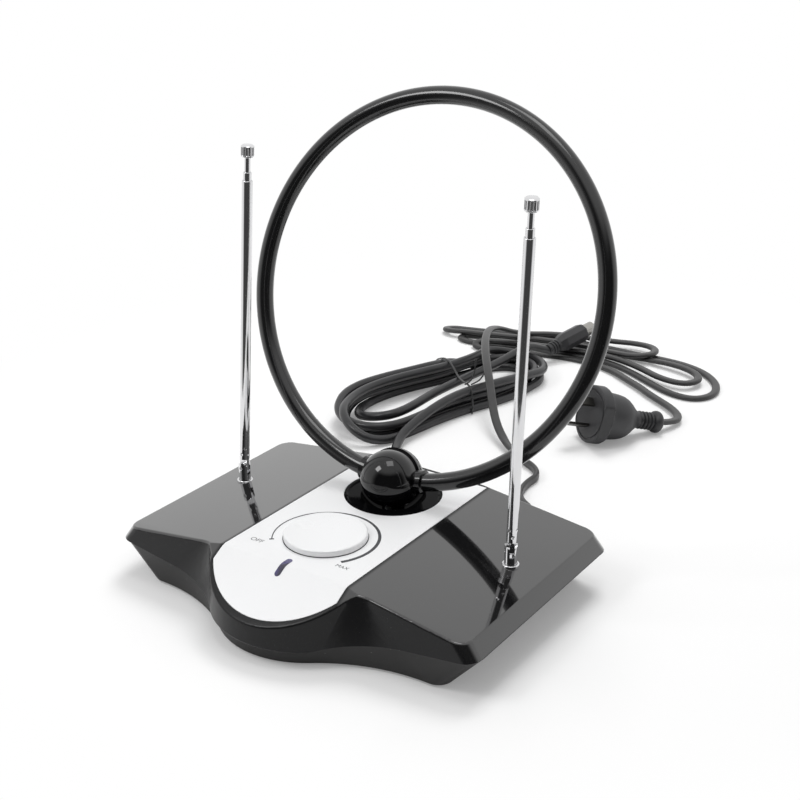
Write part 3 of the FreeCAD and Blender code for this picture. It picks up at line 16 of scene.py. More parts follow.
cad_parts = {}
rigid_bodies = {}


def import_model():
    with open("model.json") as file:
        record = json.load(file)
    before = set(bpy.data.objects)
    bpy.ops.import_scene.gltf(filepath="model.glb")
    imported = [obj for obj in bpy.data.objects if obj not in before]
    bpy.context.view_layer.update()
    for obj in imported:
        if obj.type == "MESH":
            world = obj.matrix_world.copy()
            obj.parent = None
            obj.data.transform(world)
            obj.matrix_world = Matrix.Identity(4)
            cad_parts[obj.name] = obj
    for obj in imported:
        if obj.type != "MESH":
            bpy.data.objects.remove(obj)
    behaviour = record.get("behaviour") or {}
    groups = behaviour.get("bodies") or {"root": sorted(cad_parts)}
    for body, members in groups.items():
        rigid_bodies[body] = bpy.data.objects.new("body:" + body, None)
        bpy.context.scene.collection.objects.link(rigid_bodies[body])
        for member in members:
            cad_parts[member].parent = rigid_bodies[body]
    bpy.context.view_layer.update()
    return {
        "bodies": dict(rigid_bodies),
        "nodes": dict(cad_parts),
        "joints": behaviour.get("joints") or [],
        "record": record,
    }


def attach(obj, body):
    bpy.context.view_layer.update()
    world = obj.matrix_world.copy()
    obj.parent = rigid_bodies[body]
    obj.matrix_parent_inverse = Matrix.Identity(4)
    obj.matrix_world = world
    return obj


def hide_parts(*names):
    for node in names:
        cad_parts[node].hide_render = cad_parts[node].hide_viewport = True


log = logging.getLogger("antenna")

Triple = tuple[float, float, float]
Colour = Triple
Profile = Sequence[tuple[float, float]]

# The frame's origin lies this far behind the drawing's, in metres.
MIDDLE_SHIFT = 0.00225

DUST_GREY: Colour = (0.42, 0.41, 0.4)
LINT_GREY: Colour = (0.3, 0.3, 0.3)
COAT_ROUGHNESS = 0.04
# Length of one wave at a scale of one, in millimetres.
WAVE_LENGTH = 314.0
# Radius under which a turned profile's point lies on the axis, in millimetres.
POLE_RADIUS = 1e-6
# Points of a mesh nearer than this are one, in metres.
MERGE_DISTANCE = 1e-6
# Points of a lead's line nearer than this are one, in metres.
LINE_DISTANCE = 1e-5


def spot(x: float, y: float, z: float) -> Vector:
    """Turns a drawing's millimetres into a point of the shared frame, in metres."""
    return Vector((x / 1000, y / 1000 - MIDDLE_SHIFT, z / 1000))


def turned(axis: str, degrees: float) -> Matrix:
    """Turn about one axis through the origin."""
    return Matrix.Rotation(math.radians(degrees), 4, axis)


class Side(Enum):
    """Side of the base that a rod stands on."""

    LEFT = "left"
    RIGHT = "right"

    @property
    def sign(self) -> int:
        """Direction of the side along X."""
        return -1 if self is Side.LEFT else 1


class Body(Enum):
    """Fixed and turning bodies that pieces ride on."""

    BASE = "base"
    KNOB = "knob"
    TURNTABLE = "turntable"
    LOOP = "loop"


class Signal:
    """A value on its way through a material, which Python's operators add Math nodes to."""

    def __init__(self, graph: ShaderGraph, socket: bpy.types.NodeSocket | None) -> None:
        """Keeps the graph and the socket that the value comes from."""
        self.graph = graph
        self.socket = socket

    def _maths(self, operation: str, first: Any, second: Any) -> Signal:
        """Adds one Math node."""
        return self.graph.node("ShaderNodeMath", {"operation": operation}, {0: first, 1: second})

    def __add__(self, other: Any) -> Signal:
        """Sum."""
        return self._maths("ADD", self, other)

    def __radd__(self, other: Any) -> Signal:
        """Sum with a number first."""
        return self._maths("ADD", other, self)

    def __sub__(self, other: Any) -> Signal:
        """Difference."""
        return self._maths("SUBTRACT", self, other)

    def __rsub__(self, other: Any) -> Signal:
        """Difference from a number."""
        return self._maths("SUBTRACT", other, self)

    def __mul__(self, other: Any) -> Signal:
        """Product."""
        return self._maths("MULTIPLY", self, other)

    def __rmul__(self, other: Any) -> Signal:
        """Product with a number first."""
        return self._maths("MULTIPLY", other, self)

    def __lt__(self, other: Any) -> Signal:
        """One where the value is the smaller, else nought."""
        return self._maths("LESS_THAN", self, other)

    def ramp(self, low: float, high: float) -> Signal:
        """Smooth rise from nought at low to one at high.

        Args:
            low: Value at which the rise starts.
            high: Value at which it ends.

        Returns:
            The share of the rise, between nought and one.
        """
        settings = {"interpolation_type": "SMOOTHSTEP"}
        return self.graph.node("ShaderNodeMapRange", settings, {0: self, 1: low, 2: high})


class ShaderGraph:
    """Node tree of one material or of the world."""

    def __init__(self, tree: bpy.types.NodeTree) -> None:
        """Empties the tree."""
        self.tree = tree
        tree.nodes.clear()

    def node(
        self,
        kind: str,
        settings: dict[str, Any] | None = None,
        sockets: dict[int | str, Any] | None = None,
        out: int | str = 0,
    ) -> Signal:
        """Adds a node.

        Args:
            kind: Type of the node.
            settings: Its own settings, set before its sockets.
            sockets: Values or signals for its inputs, by name or place.
            out: Output that is wanted.

        Returns:
            The wanted output; an output node has none.
        """
        made = self.tree.nodes.new(kind)
        for key, value in (settings or {}).items():
            setattr(made, key, value)
        for key, value in (sockets or {}).items():
            entry = made.inputs[key]
            if isinstance(value, Signal):
                self.tree.links.new(value.socket, entry)
            elif entry.type == "RGBA":
                entry.default_value = (*value, 1.0)
            else:
                entry.default_value = value
        return Signal(self, made.outputs[out] if made.outputs else None)

    def place(self, stretch: Triple = (1.0, 1.0, 1.0), turn: Triple = (0.0, 0.0, 0.0)) -> Signal:
        """Object coordinates, stretched and turned.

        Args:
            stretch: Scale along each axis.
            turn: Turn about each axis, in degrees.

        Returns:
            The place on the piece.
        """
        here = self.node("ShaderNodeTexCoord", out="Object")
        radians = tuple(math.radians(angle) for angle in turn)
        return self.node("ShaderNodeMapping", None, {"Vector": here, "Rotation": radians, "Scale": stretch})

    def noise(self, size: float, detail: float = 2.0, place: Signal | None = None) -> Signal:
        """Cloudy variation between nought and one.

        Args:
            size: Size of a cloud in millimetres.
            detail: Steps of finer clouds.
            place: Coordinates, or the piece's own where left out.

        Returns:
            The variation.
        """
        sockets = {"Vector": place or self.place(), "Scale": 1000.0 / size, "Detail": detail}
        return self.node("ShaderNodeTexNoise", None, sockets)

    def specks(self, spacing: float, size: float, share: float) -> Signal:
        """Small scattered dots, one on the dots and nought between them.

        Args:
            spacing: Distance between the cells, in millimetres.
            size: Radius of a dot, as a share of its cell.
            share: Share of the cells that hold a dot.

        Returns:
            The mask of the dots.
        """
        sockets = {"Vector": self.place(), "Scale": 1000.0 / spacing}
        away = self.node("ShaderNodeTexVoronoi", None, sockets, "Distance")
        chance = self.node("ShaderNodeTexVoronoi", None, sockets, "Color")
        return (1.0 - away.ramp(0.6 * size, size)) * (chance < share)

    def blend(self, share: Signal, first: Any, second: Any) -> Signal:
        """Mix of two colours.

        Args:
            share: Share of the second colour.
            first: Colour or signal at nought.
            second: Colour or signal at one.

        Returns:
            The mixed colour.
        """
        sockets = {0: share, 6: first, 7: second}
        return self.node("ShaderNodeMix", {"data_type": "RGBA"}, sockets, 2)

    def coat_all(self, sockets: dict[str, Any], height: Signal | None = None, depth: float = 0.0) -> None:
        """Ends a material in its surface.

        Args:
            sockets: Values or signals of the surface shader.
            height: Relief between nought and one.
            depth: Height of the relief in millimetres.
        """
        if height is not None:
            bump = {"Height": height, "Distance": depth / 1000.0, "Strength": 1.0}
            sockets = {**sockets, "Normal": self.node("ShaderNodeBump", None, bump)}
        shader = self.node("ShaderNodeBsdfPrincipled", None, sockets)
        self.node("ShaderNodeOutputMaterial", None, {"Surface": shader})


@dataclass(frozen=True)
class Finish:
    """What every finish has: a name, the record's slot, a colour and a gloss."""

    name: str
    slot: str
    colour: Colour
    roughness: float

    def material(self) -> bpy.types.Material:
        """Material of the finish, made on its first use.

        Returns:
            The material.
        """
        made = bpy.data.materials.get(self.name)
        if made is None:
            made = bpy.data.materials.new(self.name)
            made.use_nodes = True
            made.diffuse_color = (*self.colour, 1.0)
            self.paint(ShaderGraph(made.node_tree))
        return made

    def shade(self, factor: float) -> Colour:
        """Finish's own colour, made lighter or darker."""
        return tuple(min(part * factor, 1.0) for part in self.colour)

    def paint(self, graph: ShaderGraph) -> None:
        """Fills the material's node tree."""
        raise NotImplementedError


@dataclass(frozen=True)
class Moulding(Finish):
    """Moulded plastic with its own gloss, a fine grain, handling marks and a little dust."""

    coat: float = 0.0
    grain: float = 0.5
    depth: float = 0.002
    smear: float = 0.06
    dust: float = 0.3
    bend: float = 1.5

    def paint(self, graph: ShaderGraph) -> None:
        """Paints clouds of tone, a grain and dust.

        Args:
            graph: Node tree of the material, still empty.
        """
        clouds = graph.noise(24.0, detail=4.0)
        grain = graph.noise(self.grain, detail=2.0)
        dots = graph.specks(spacing=2.4, size=0.09, share=0.35) * self.dust
        base = graph.blend(clouds.ramp(0.3, 0.7), self.shade(0.9), self.shade(1.12))
        sockets = {
            "Base Color": graph.blend(dots, base, DUST_GREY),
            "Roughness": self.roughness + (clouds - 0.5) * self.smear + (grain - 0.5) * 0.03 + dots * 0.35,
            "IOR": self.bend,
            "Coat Weight": self.coat,
            "Coat Roughness": COAT_ROUGHNESS,
        }
        graph.coat_all(sockets, grain, self.depth)


@dataclass(frozen=True)
class PolishedTop(Moulding):
    """Moulding that is polished on its wings and finely spark-textured on its walls and nose."""

    wall_roughness: float = 0.24
    texture: float = 0.28
    nose: tuple[float, float] = (37.6, 40.0)

    def paint(self, graph: ShaderGraph) -> None:
        """Paints polished wings, textured walls and dust.

        Args:
            graph: Node tree of the material, still empty.
        """
        facing = graph.node("ShaderNodeTexCoord", out="Normal")
        up = graph.node("ShaderNodeSeparateXYZ", None, {0: facing}, "Z")
        across = graph.node("ShaderNodeSeparateXYZ", None, {0: graph.place()}, "X")
        near, far = ((edge / 1000) ** 2 for edge in self.nose)
        wall = 1.0 - up.ramp(0.3, 0.5) * (across * across).ramp(near, far)
        clouds = graph.noise(24.0, detail=4.0)
        grain = graph.noise(self.texture, detail=3.0)
        sparks = graph.specks(spacing=1.3, size=0.16, share=0.3) * wall
        dots = graph.specks(spacing=2.6, size=0.07, share=0.3) * self.dust
        base = graph.blend(wall, self.shade(0.9), self.shade(1.1))
        base = graph.blend(sparks * 0.5, base, self.shade(6.0))
        gloss = self.roughness + (clouds - 0.5) * self.smear
        sockets = {
            "Base Color": graph.blend(dots, base, DUST_GREY),
            "Roughness": gloss + wall * (self.wall_roughness - self.roughness) + (grain - 0.5) * wall * 0.2,
            "IOR": self.bend,
            "Coat Weight": self.coat * (1.0 - wall),
            "Coat Roughness": COAT_ROUGHNESS,
            "Coat IOR": 1.7,
        }
        graph.coat_all(sockets, grain * (0.05 + 0.95 * wall) + sparks * 0.6, self.depth)


@dataclass(frozen=True)
class SilverPaint(Finish):
    """Sprayed silver with a fine flake and a little orange peel."""

    flake: float = 0.14
    metallic: float = 0.3

    def paint(self, graph: ShaderGraph) -> None:
        """Paints flakes, clouds and orange peel.

        Args:
            graph: Node tree of the material, still empty.
        """
        cell = {"Vector": graph.place(), "Scale": 1000.0 / self.flake}
        flake = graph.node("ShaderNodeTexVoronoi", None, cell, "Color") * 1.0
        clouds = graph.noise(30.0, detail=3.0)
        peel = graph.noise(0.9, detail=1.0)
        base = graph.blend(flake, self.shade(0.95), self.shade(1.03))
        sockets = {
            "Base Color": graph.blend(clouds.ramp(0.35, 0.65) * 0.4, base, self.shade(0.98)),
            "Metallic": self.metallic,
            "Roughness": self.roughness + (flake - 0.5) * 0.12 + (clouds - 0.5) * 0.06,
        }
        graph.coat_all(sockets, peel, 0.0015)


@dataclass(frozen=True)
class Plating(Finish):
    """Polished or plated metal with faint drawing lines along one axis."""

    lines: Triple = (1.0, 1.0, 0.02)
    depth: float = 0.0004

    def paint(self, graph: ShaderGraph) -> None:
        """Paints drawing lines and hand marks.

        Args:
            graph: Node tree of the material, still empty.
        """
        drawn = graph.noise(0.22, detail=2.0, place=graph.place(self.lines))
        hands = graph.noise(9.0, detail=3.0)
        sockets = {
            "Base Color": graph.blend(hands, self.shade(0.94), self.shade(1.04)),
            "Metallic": 1.0,
            "Roughness": self.roughness + (drawn - 0.5) * 0.08 + (hands - 0.5).ramp(0.02, 0.3) * 0.06,
        }
        graph.coat_all(sockets, drawn, self.depth)


@dataclass(frozen=True)
class Sheath(Finish):
    """Soft plastic of a lead or tie, with a fine skin and duller patches where it was handled."""

    skin: float = 0.35

    def paint(self, graph: ShaderGraph) -> None:
        """Paints the skin, duller patches and lint.

        Args:
            graph: Node tree of the material, still empty.
        """
        skin = graph.noise(self.skin, detail=3.0)
        patches = graph.noise(14.0, detail=3.0)
        dots = graph.specks(spacing=1.7, size=0.1, share=0.25) * 0.35
        base = graph.blend(patches.ramp(0.3, 0.7), self.shade(0.82), self.shade(1.2))
        sockets = {
            "Base Color": graph.blend(dots, base, LINT_GREY),
            "Roughness": self.roughness + (patches - 0.5) * 0.14 + (skin - 0.5) * 0.1 + dots * 0.3,
            "IOR": 1.5,
        }
        graph.coat_all(sockets, skin, 0.012)


@dataclass(frozen=True)
class Lens(Finish):
    """Dark tinted window with a glossy face."""

    glow: Colour = (0.16, 0.12, 0.34)

    def paint(self, graph: ShaderGraph) -> None:
        """Paints the tint and the gloss over it.

        Args:
            graph: Node tree of the material, still empty.
        """
        depth = graph.noise(5.0, detail=2.0)
        sockets = {
            "Base Color": graph.blend(depth.ramp(0.35, 0.7), self.colour, self.glow),
            "Roughness": self.roughness + (depth - 0.5) * 0.08,
            "Coat Weight": 0.7,
            "Coat Roughness": 0.05,
        }
        graph.coat_all(sockets, graph.noise(0.6), 0.001)


@dataclass(frozen=True)
class Ink(Finish):
    """Printed ink that thins out a little in places; the dial's ink also paints the shadow ring round the
    knob.
    """

    def paint(self, graph: ShaderGraph) -> None:
        """Paints the ink and its thin places.

        Args:
            graph: Node tree of the material, still empty.
        """
        thin = graph.noise(0.5, detail=3.0)
        sockets = {
            "Base Color": graph.blend(thin.ramp(0.45, 0.8), self.colour, self.shade(1.9)),
            "Roughness": self.roughness + (thin - 0.5) * 0.2,
        }
        graph.coat_all(sockets)


@dataclass(frozen=True)
class Banded(Finish):
    """Layered stuff such as core plates, wound tape or a board's tracks, in bands of two shades."""

    pitch: float = 0.6
    contrast: float = 1.5
    turn: Triple = (0.0, 0.0, 0.0)
    metallic: float = 0.0

    def paint(self, graph: ShaderGraph) -> None:
        """Paints bands of two shades and their wear.

        Args:
            graph: Node tree of the material, still empty.
        """
        place = graph.place(turn=self.turn)
        wave = {"Vector": place, "Scale": WAVE_LENGTH / self.pitch, "Distortion": 0.6}
        bands = graph.node("ShaderNodeTexWave", None, wave, "Fac")
        wear = graph.noise(3.0, detail=3.0)
        sockets = {
            "Base Color": graph.blend(bands, self.colour, self.shade(self.contrast)),
            "Metallic": self.metallic,
            "Roughness": self.roughness + (wear - 0.5) * 0.2,
        }
        graph.coat_all(sockets, bands, 0.02)


GLOSS_BLACK = PolishedTop(
    "polished_black_moulding",
    "gloss_black",
    (0.009, 0.009, 0.0095),
    0.06,
    coat=1.0,
    smear=0.04,
    depth=0.012,
    bend=1.32,
)
DISH_BLACK = Moulding("dish_moulding", "gloss_black", (0.003, 0.003, 0.0035), 0.1, dust=0.2, bend=1.1)
SATIN_BLACK = Moulding(
    "satin_black_moulding", "satin_black", (0.014, 0.0135, 0.0135), 0.34, grain=0.3, depth=0.008, dust=0.45
)
LOOP_BLACK = Moulding(
    "loop_sleeve", "gloss_black", (0.006, 0.006, 0.0065), 0.17, coat=0.4, grain=0.4, depth=0.003, dust=0.2
)
BALL_BLACK = Moulding("ball_moulding", "gloss_black", (0.003, 0.003, 0.0035), 0.07, dust=0.2)
FASCIA_SILVER = SilverPaint("fascia_silver_paint", "fascia_silver", (0.87, 0.873, 0.88), 0.46, metallic=0.14)
KNOB_SILVER = SilverPaint("knob_silver_paint", "knob_silver", (0.88, 0.884, 0.89), 0.33, metallic=0.15)
WINDOW_VIOLET = Lens("indicator_tint", "led_violet", (0.008, 0.005, 0.03), 0.16, glow=(0.05, 0.04, 0.16))
CHROME = Plating("bright_plating", "chrome", (0.72, 0.72, 0.73), 0.08)
NICKEL = Plating("connector_nickel", "chrome", (0.4, 0.39, 0.37), 0.26)
ZINC = Plating("zinc_plating", "steel", (0.55, 0.55, 0.56), 0.36, lines=(1.0, 1.0, 1.0), depth=0.002)
BRASS = Plating("spring_brass", "brass", (0.66, 0.5, 0.22), 0.3, lines=(0.05, 1.0, 1.0), depth=0.001)
# Plug blades in near-black metal, far darker than their brass: painted shade of the plug's shaded face.
BLADE_PLATING_AND_SHADE = Plating(
    "blade_plating", "pin_brass", (0.06, 0.058, 0.054), 0.42, lines=(0.2, 0.2, 1.0), depth=0.001
)
COAX_SHEATH = Sheath("coax_sheath", "cord_charcoal", (0.02, 0.02, 0.0215), 0.33)
MAINS_SHEATH = Sheath("mains_sheath", "cord_charcoal", (0.03, 0.0295, 0.03), 0.38)
TIE_SHEATH = Sheath("tie_sheath", "cord_charcoal", (0.02, 0.02, 0.021), 0.4)
PLUG_RUBBER = Sheath("plug_moulding", "plug_charcoal", (0.026, 0.026, 0.028), 0.46, skin=0.25)
FOOT_RUBBER = Sheath("foot_rubber", "rubber", (0.02, 0.02, 0.02), 0.75, skin=0.6)
# Ink of the dial's print, also used for the painted shadow ring round the knob.
DIAL_INK_AND_GAP_SHADOW = Ink("dial_ink", "satin_black", (0.045, 0.045, 0.05), 0.5)
WORD_INK = Ink("word_ink", "satin_black", (0.09, 0.09, 0.095), 0.55)
CORE_PLATES = Banded(
    "core_plates", "core_steel", (0.12, 0.115, 0.11), 0.5, turn=(0.0, 0.0, 90.0), metallic=0.6
)
COIL_TAPE = Banded("coil_tape", "winding_tape", (0.66, 0.5, 0.1), 0.4, pitch=4.0, contrast=1.15)
BOARD_MASK = Banded("board_mask", "board_green", (0.02, 0.14, 0.05), 0.35, pitch=2.6, contrast=1.8)
POT_CASE = Moulding("pot_case", "pot_grey", (0.22, 0.22, 0.23), 0.45)
LAMP_EPOXY = Lens("lamp_epoxy", "lamp_clear", (0.4, 0.06, 0.06), 0.1, glow=(0.7, 0.2, 0.2))


class Recipe:
    """Geometry Nodes tree with named sizes, baked to a plain mesh."""

    def __init__(self, name: str, sizes: dict[str, Any]) -> None:
        """Starts a tree.

        Args:
            name: Name of the tree.
            sizes: Named inputs and their values; whole numbers become counts, objects become pieces.
        """
        self.tree = bpy.data.node_groups.new(name, "GeometryNodeTree")
        self.values: dict[str, Any] = {}
        face = self.tree.interface
        for label, value in sizes.items():
            kind = "NodeSocketInt" if isinstance(value, int) else "NodeSocketFloat"
            kind = "NodeSocketObject" if isinstance(value, bpy.types.Object) else kind
            kind = "NodeSocketMaterial" if isinstance(value, bpy.types.Material) else kind
            socket = face.new_socket(label, in_out="INPUT", socket_type=kind)
            self.values[socket.identifier] = value
        face.new_socket("Geometry", in_out="OUTPUT", socket_type="NodeSocketGeometry")
        self.given = self.tree.nodes.new("NodeGroupInput")

    def size(self, label: str) -> bpy.types.NodeSocket:
        """Socket of a named size."""
        return self.given.outputs[label]

    def node(
        self,
        kind: str,
        settings: dict[str, Any] | None = None,
        sockets: dict[int | str, Any] | None = None,
        out: int | str = 0,
    ) -> bpy.types.NodeSocket:
        """Adds a node.

        Args:
            kind: Type of the node.
            settings: Its own settings, set before its sockets.
            sockets: Values or sockets for its inputs.
            out: Output that is wanted.

        Returns:
            The wanted output.
        """
        made = self.tree.nodes.new(kind)
        for key, value in (settings or {}).items():
            setattr(made, key, value)
        for key, value in (sockets or {}).items():
            if isinstance(value, bpy.types.NodeSocket):
                self.tree.links.new(value, made.inputs[key])
            else:
                made.inputs[key].default_value = value
        return made.outputs[out]

    def bake(self, shape: bpy.types.NodeSocket) -> bmesh.types.BMesh:
        """Ends the tree and turns its result into a plain mesh.

        Args:
            shape: Geometry at the end of the tree, before its instances are realized.

        Returns:
            The mesh, in the tree's own coordinates.
        """
        real = self.node("GeometryNodeRealizeInstances", None, {"Geometry": shape})
        sockets = {"Geometry": real, "Material": self.size("Finish")}
        dressed = self.node("GeometryNodeSetMaterial", None, sockets)
        self.node_out(dressed)
        holder = bpy.data.objects.new(self.tree.name, bpy.data.meshes.new(self.tree.name))
        bpy.context.scene.collection.objects.link(holder)
        step = holder.modifiers.new("recipe", "NODES")
        step.node_group = self.tree
        for identifier, value in self.values.items():
            step[identifier] = value
        graph = bpy.context.evaluated_depsgraph_get()
        mesh = bpy.data.meshes.new_from_object(holder.evaluated_get(graph))
        holder.modifiers.remove(step)
        bpy.data.objects.remove(holder)
        form = bmesh.new()
        form.from_mesh(mesh)
        bpy.data.meshes.remove(mesh)
        return form

    def node_out(self, socket: bpy.types.NodeSocket) -> None:
        """Links the tree's output."""
        self.tree.links.new(socket, self.tree.nodes.new("NodeGroupOutput").inputs[0])


def ring_of(form: bmesh.types.BMesh, radius: float, height: float, steps: int) -> list[bmesh.types.BMVert]:
    """Adds a level ring of points about the Z axis.

    Args:
        form: Mesh that gets the points.
        radius: Radius in millimetres.
        height: Height in millimetres.
        steps: Points round the axis.

    Returns:
        The points in their order.
    """
    turns = [2 * math.pi * k / steps for k in range(steps)]
    places = [(radius * math.cos(t) / 1000, radius * math.sin(t) / 1000, height / 1000) for t in turns]
    return [form.verts.new(place) for place in places]


def lathe(profile: Profile, place: Matrix, steps: int = 48, closed: bool = False) -> bmesh.types.BMesh:
    """Turns a profile about the Z axis.

    Args:
        profile: Radii and heights in millimetres, from the axis round to the axis, or a closed ring.
        place: Matrix that sets the turned shape in its place, in metres.
        steps: Steps round the axis.
        closed: Whether the last point joins the first, as on a tube's wall.

    Returns:
        The closed mesh.
    """
    form = bmesh.new()
    rings = []
    for radius, height in profile:
        if radius < POLE_RADIUS:
            rings.append([form.verts.new((0, 0, height / 1000))] * steps)
        else:
            rings.append(ring_of(form, radius, height, steps))
    pairs = list(zip(rings, rings[1:])) + ([(rings[-1], rings[0])] if closed else [])
    for low, high in pairs:
        for k in range(steps):
            corners = [low[k], low[k - 1], high[k - 1], high[k]]
            corners = [c for n, c in enumerate(corners) if c not in corners[:n]]
            if len(corners) > 2:
                form.faces.new(corners)
    bmesh.ops.recalc_face_normals(form, faces=form.faces)
    form.transform(place)
    return form


def node_copy(frame: dict[str, Any], node: str) -> bmesh.types.BMesh:
    """Copies a CAD node's mesh and merges its loose triangles.

    Args:
        frame: Loaded frame.
        node: Name of the node.

    Returns:
        The merged mesh.
    """
    form = bmesh.new()
    form.from_mesh(frame["nodes"][node].data)
    bmesh.ops.remove_doubles(form, verts=form.verts, dist=MERGE_DISTANCE)
    return form


def laid_along(start: Vector, end: Vector) -> Matrix:
    """Matrix that lays a shape drawn up the Z axis along a line, its +X side turned down.

    Args:
        start: Point where the shape's origin goes.
        end: Point that its Z axis passes through.

    Returns:
        The matrix.
    """
    heading = end - start
    spin = math.degrees(math.atan2(heading.y, heading.x))
    tip = Vector((0, 0, 1)).rotation_difference(heading).to_matrix().to_4x4()
    return Matrix.Translation(start) @ tip @ turned("Z", spin)


def joined(first: bmesh.types.BMesh, second: bmesh.types.BMesh) -> bmesh.types.BMesh:
    """Adds the second mesh to the first and uses it up.

    Args:
        first: Mesh that stays.
        second: Mesh that is added.

    Returns:
        The first mesh.
    """
    mesh = bpy.data.meshes.new("joined")
    second.to_mesh(mesh)
    second.free()
    first.from_mesh(mesh)
    bpy.data.meshes.remove(mesh)
    return first


def route_curve(name: str, route: Sequence[Vector], radius: float) -> bpy.types.Object:
    """Smooth curve of one lead.

    Args:
        name: Name of the curve.
        route: Its control points in the shared frame.
        radius: Radius of its round section in metres, or nought for a bare line.

    Returns:
        The curve's object.
    """
    curve = bpy.data.curves.new(name, "CURVE")
    curve.dimensions = "3D"
    curve.bevel_depth = radius
    curve.bevel_resolution = 5
    curve.use_fill_caps = True
    spline = curve.splines.new("NURBS")
    spline.points.add(len(route) - 1)
    for point, place in zip(spline.points, route):
        point.co = (*place, 1.0)
    spline.order_u = 3
    spline.use_endpoint_u = True
    spline.resolution_u = 8
    piece = bpy.data.objects.new(name, curve)
    bpy.context.scene.collection.objects.link(piece)
    return piece


def line_of(route: Sequence[Vector]) -> list[Vector]:
    """Points along the smooth line of a route.

    Args:
        route: Control points of the line.

    Returns:
        Points read from the line.
    """
    bare = route_curve("bare_line", route, 0.0)
    mesh = bpy.data.meshes.new_from_object(bare)
    places = [vertex.co.copy() for vertex in mesh.vertices]
    bpy.data.objects.remove(bare)
    bpy.data.meshes.remove(mesh)
    return places[:1] + [b for a, b in zip(places, places[1:]) if (b - a).length > LINE_DISTANCE]


def swept(
    line: Sequence[Vector], section: Profile, twist: Sequence[float] | None = None
) -> bmesh.types.BMesh:
    """Sweeps a section along a line, its first side kept level or twisted.

    Args:
        line: Points of the line.
        section: Corners of the section, across and up, in millimetres.
        twist: Angle in degrees that the section is twisted by at each point.

    Returns:
        The closed tube.
    """
    form = bmesh.new()
    rings = []
    angles = twist or [0.0] * len(line)
    for before, here, after, angle in zip([line[0], *line], line, [*line[1:], line[-1]], angles):
        heading = (after - before).normalized()
        level = heading.cross(Vector((0, 0, 1))).normalized()
        across = Matrix.Rotation(math.radians(angle), 3, heading) @ level
        up = across.cross(heading)
        rings.append([form.verts.new(here + (across * a + up * b) / 1000) for a, b in section])
    for low, high in zip(rings, rings[1:]):
        for k in range(len(section)):
            form.faces.new([low[k - 1], low[k], high[k], high[k - 1]])
    form.faces.new(rings[0])
    form.faces.new(list(reversed(rings[-1])))
    bmesh.ops.recalc_face_normals(form, faces=form.faces)
    return form


def finished(
    name: str,
    form: bmesh.types.BMesh,
    finish: Finish,
    body: str,
    replaces: Iterable[str] = (),
    crease: float = 32.0,
) -> bpy.types.Object:
    """Makes a piece of a mesh: shades it, gives it its finish and sets it on its body.

    Args:
        name: Name of the piece.
        form: Mesh in the shared frame, which is used up.
        finish: Finish of the whole piece.
        body: Body that the piece rides on.
        replaces: CAD nodes that it stands for.
        crease: Angle in degrees past which an edge stays sharp.

    Returns:
        The piece's object.
    """
    limit = math.radians(crease)
    for face in form.faces:
        face.smooth = True
    for edge in form.edges:
        edge.smooth = edge.is_manifold and edge.calc_face_angle(0.0) < limit
    mesh = bpy.data.meshes.new(name)
    form.to_mesh(mesh)
    form.free()
    mesh.materials.clear()
    mesh.materials.append(finish.material())
    piece = bpy.data.objects.new(name, mesh)
    bpy.context.scene.collection.objects.link(piece)
    even = piece.modifiers.new("even shading", "WEIGHTED_NORMAL")
    even.keep_sharp = True
    nodes = list(replaces)
    if nodes:
        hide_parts(*nodes)
    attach(piece, body)
    log.info("piece %s: %d faces on %s", name, len(mesh.polygons), body)
    return piece


def dress(frame: dict[str, Any], node: str, finish: Finish) -> None:
    """Gives a CAD node that stays its finish.

    Args:
        frame: Loaded frame.
        node: Name of the node.
        finish: Its finish.
    """
    piece = frame["nodes"][node]
    if not piece.material_slots:
        piece.data.materials.append(None)
    for slot in piece.material_slots:
        slot.material = finish.material()
    log.info("node %s: %s", node, finish.name)


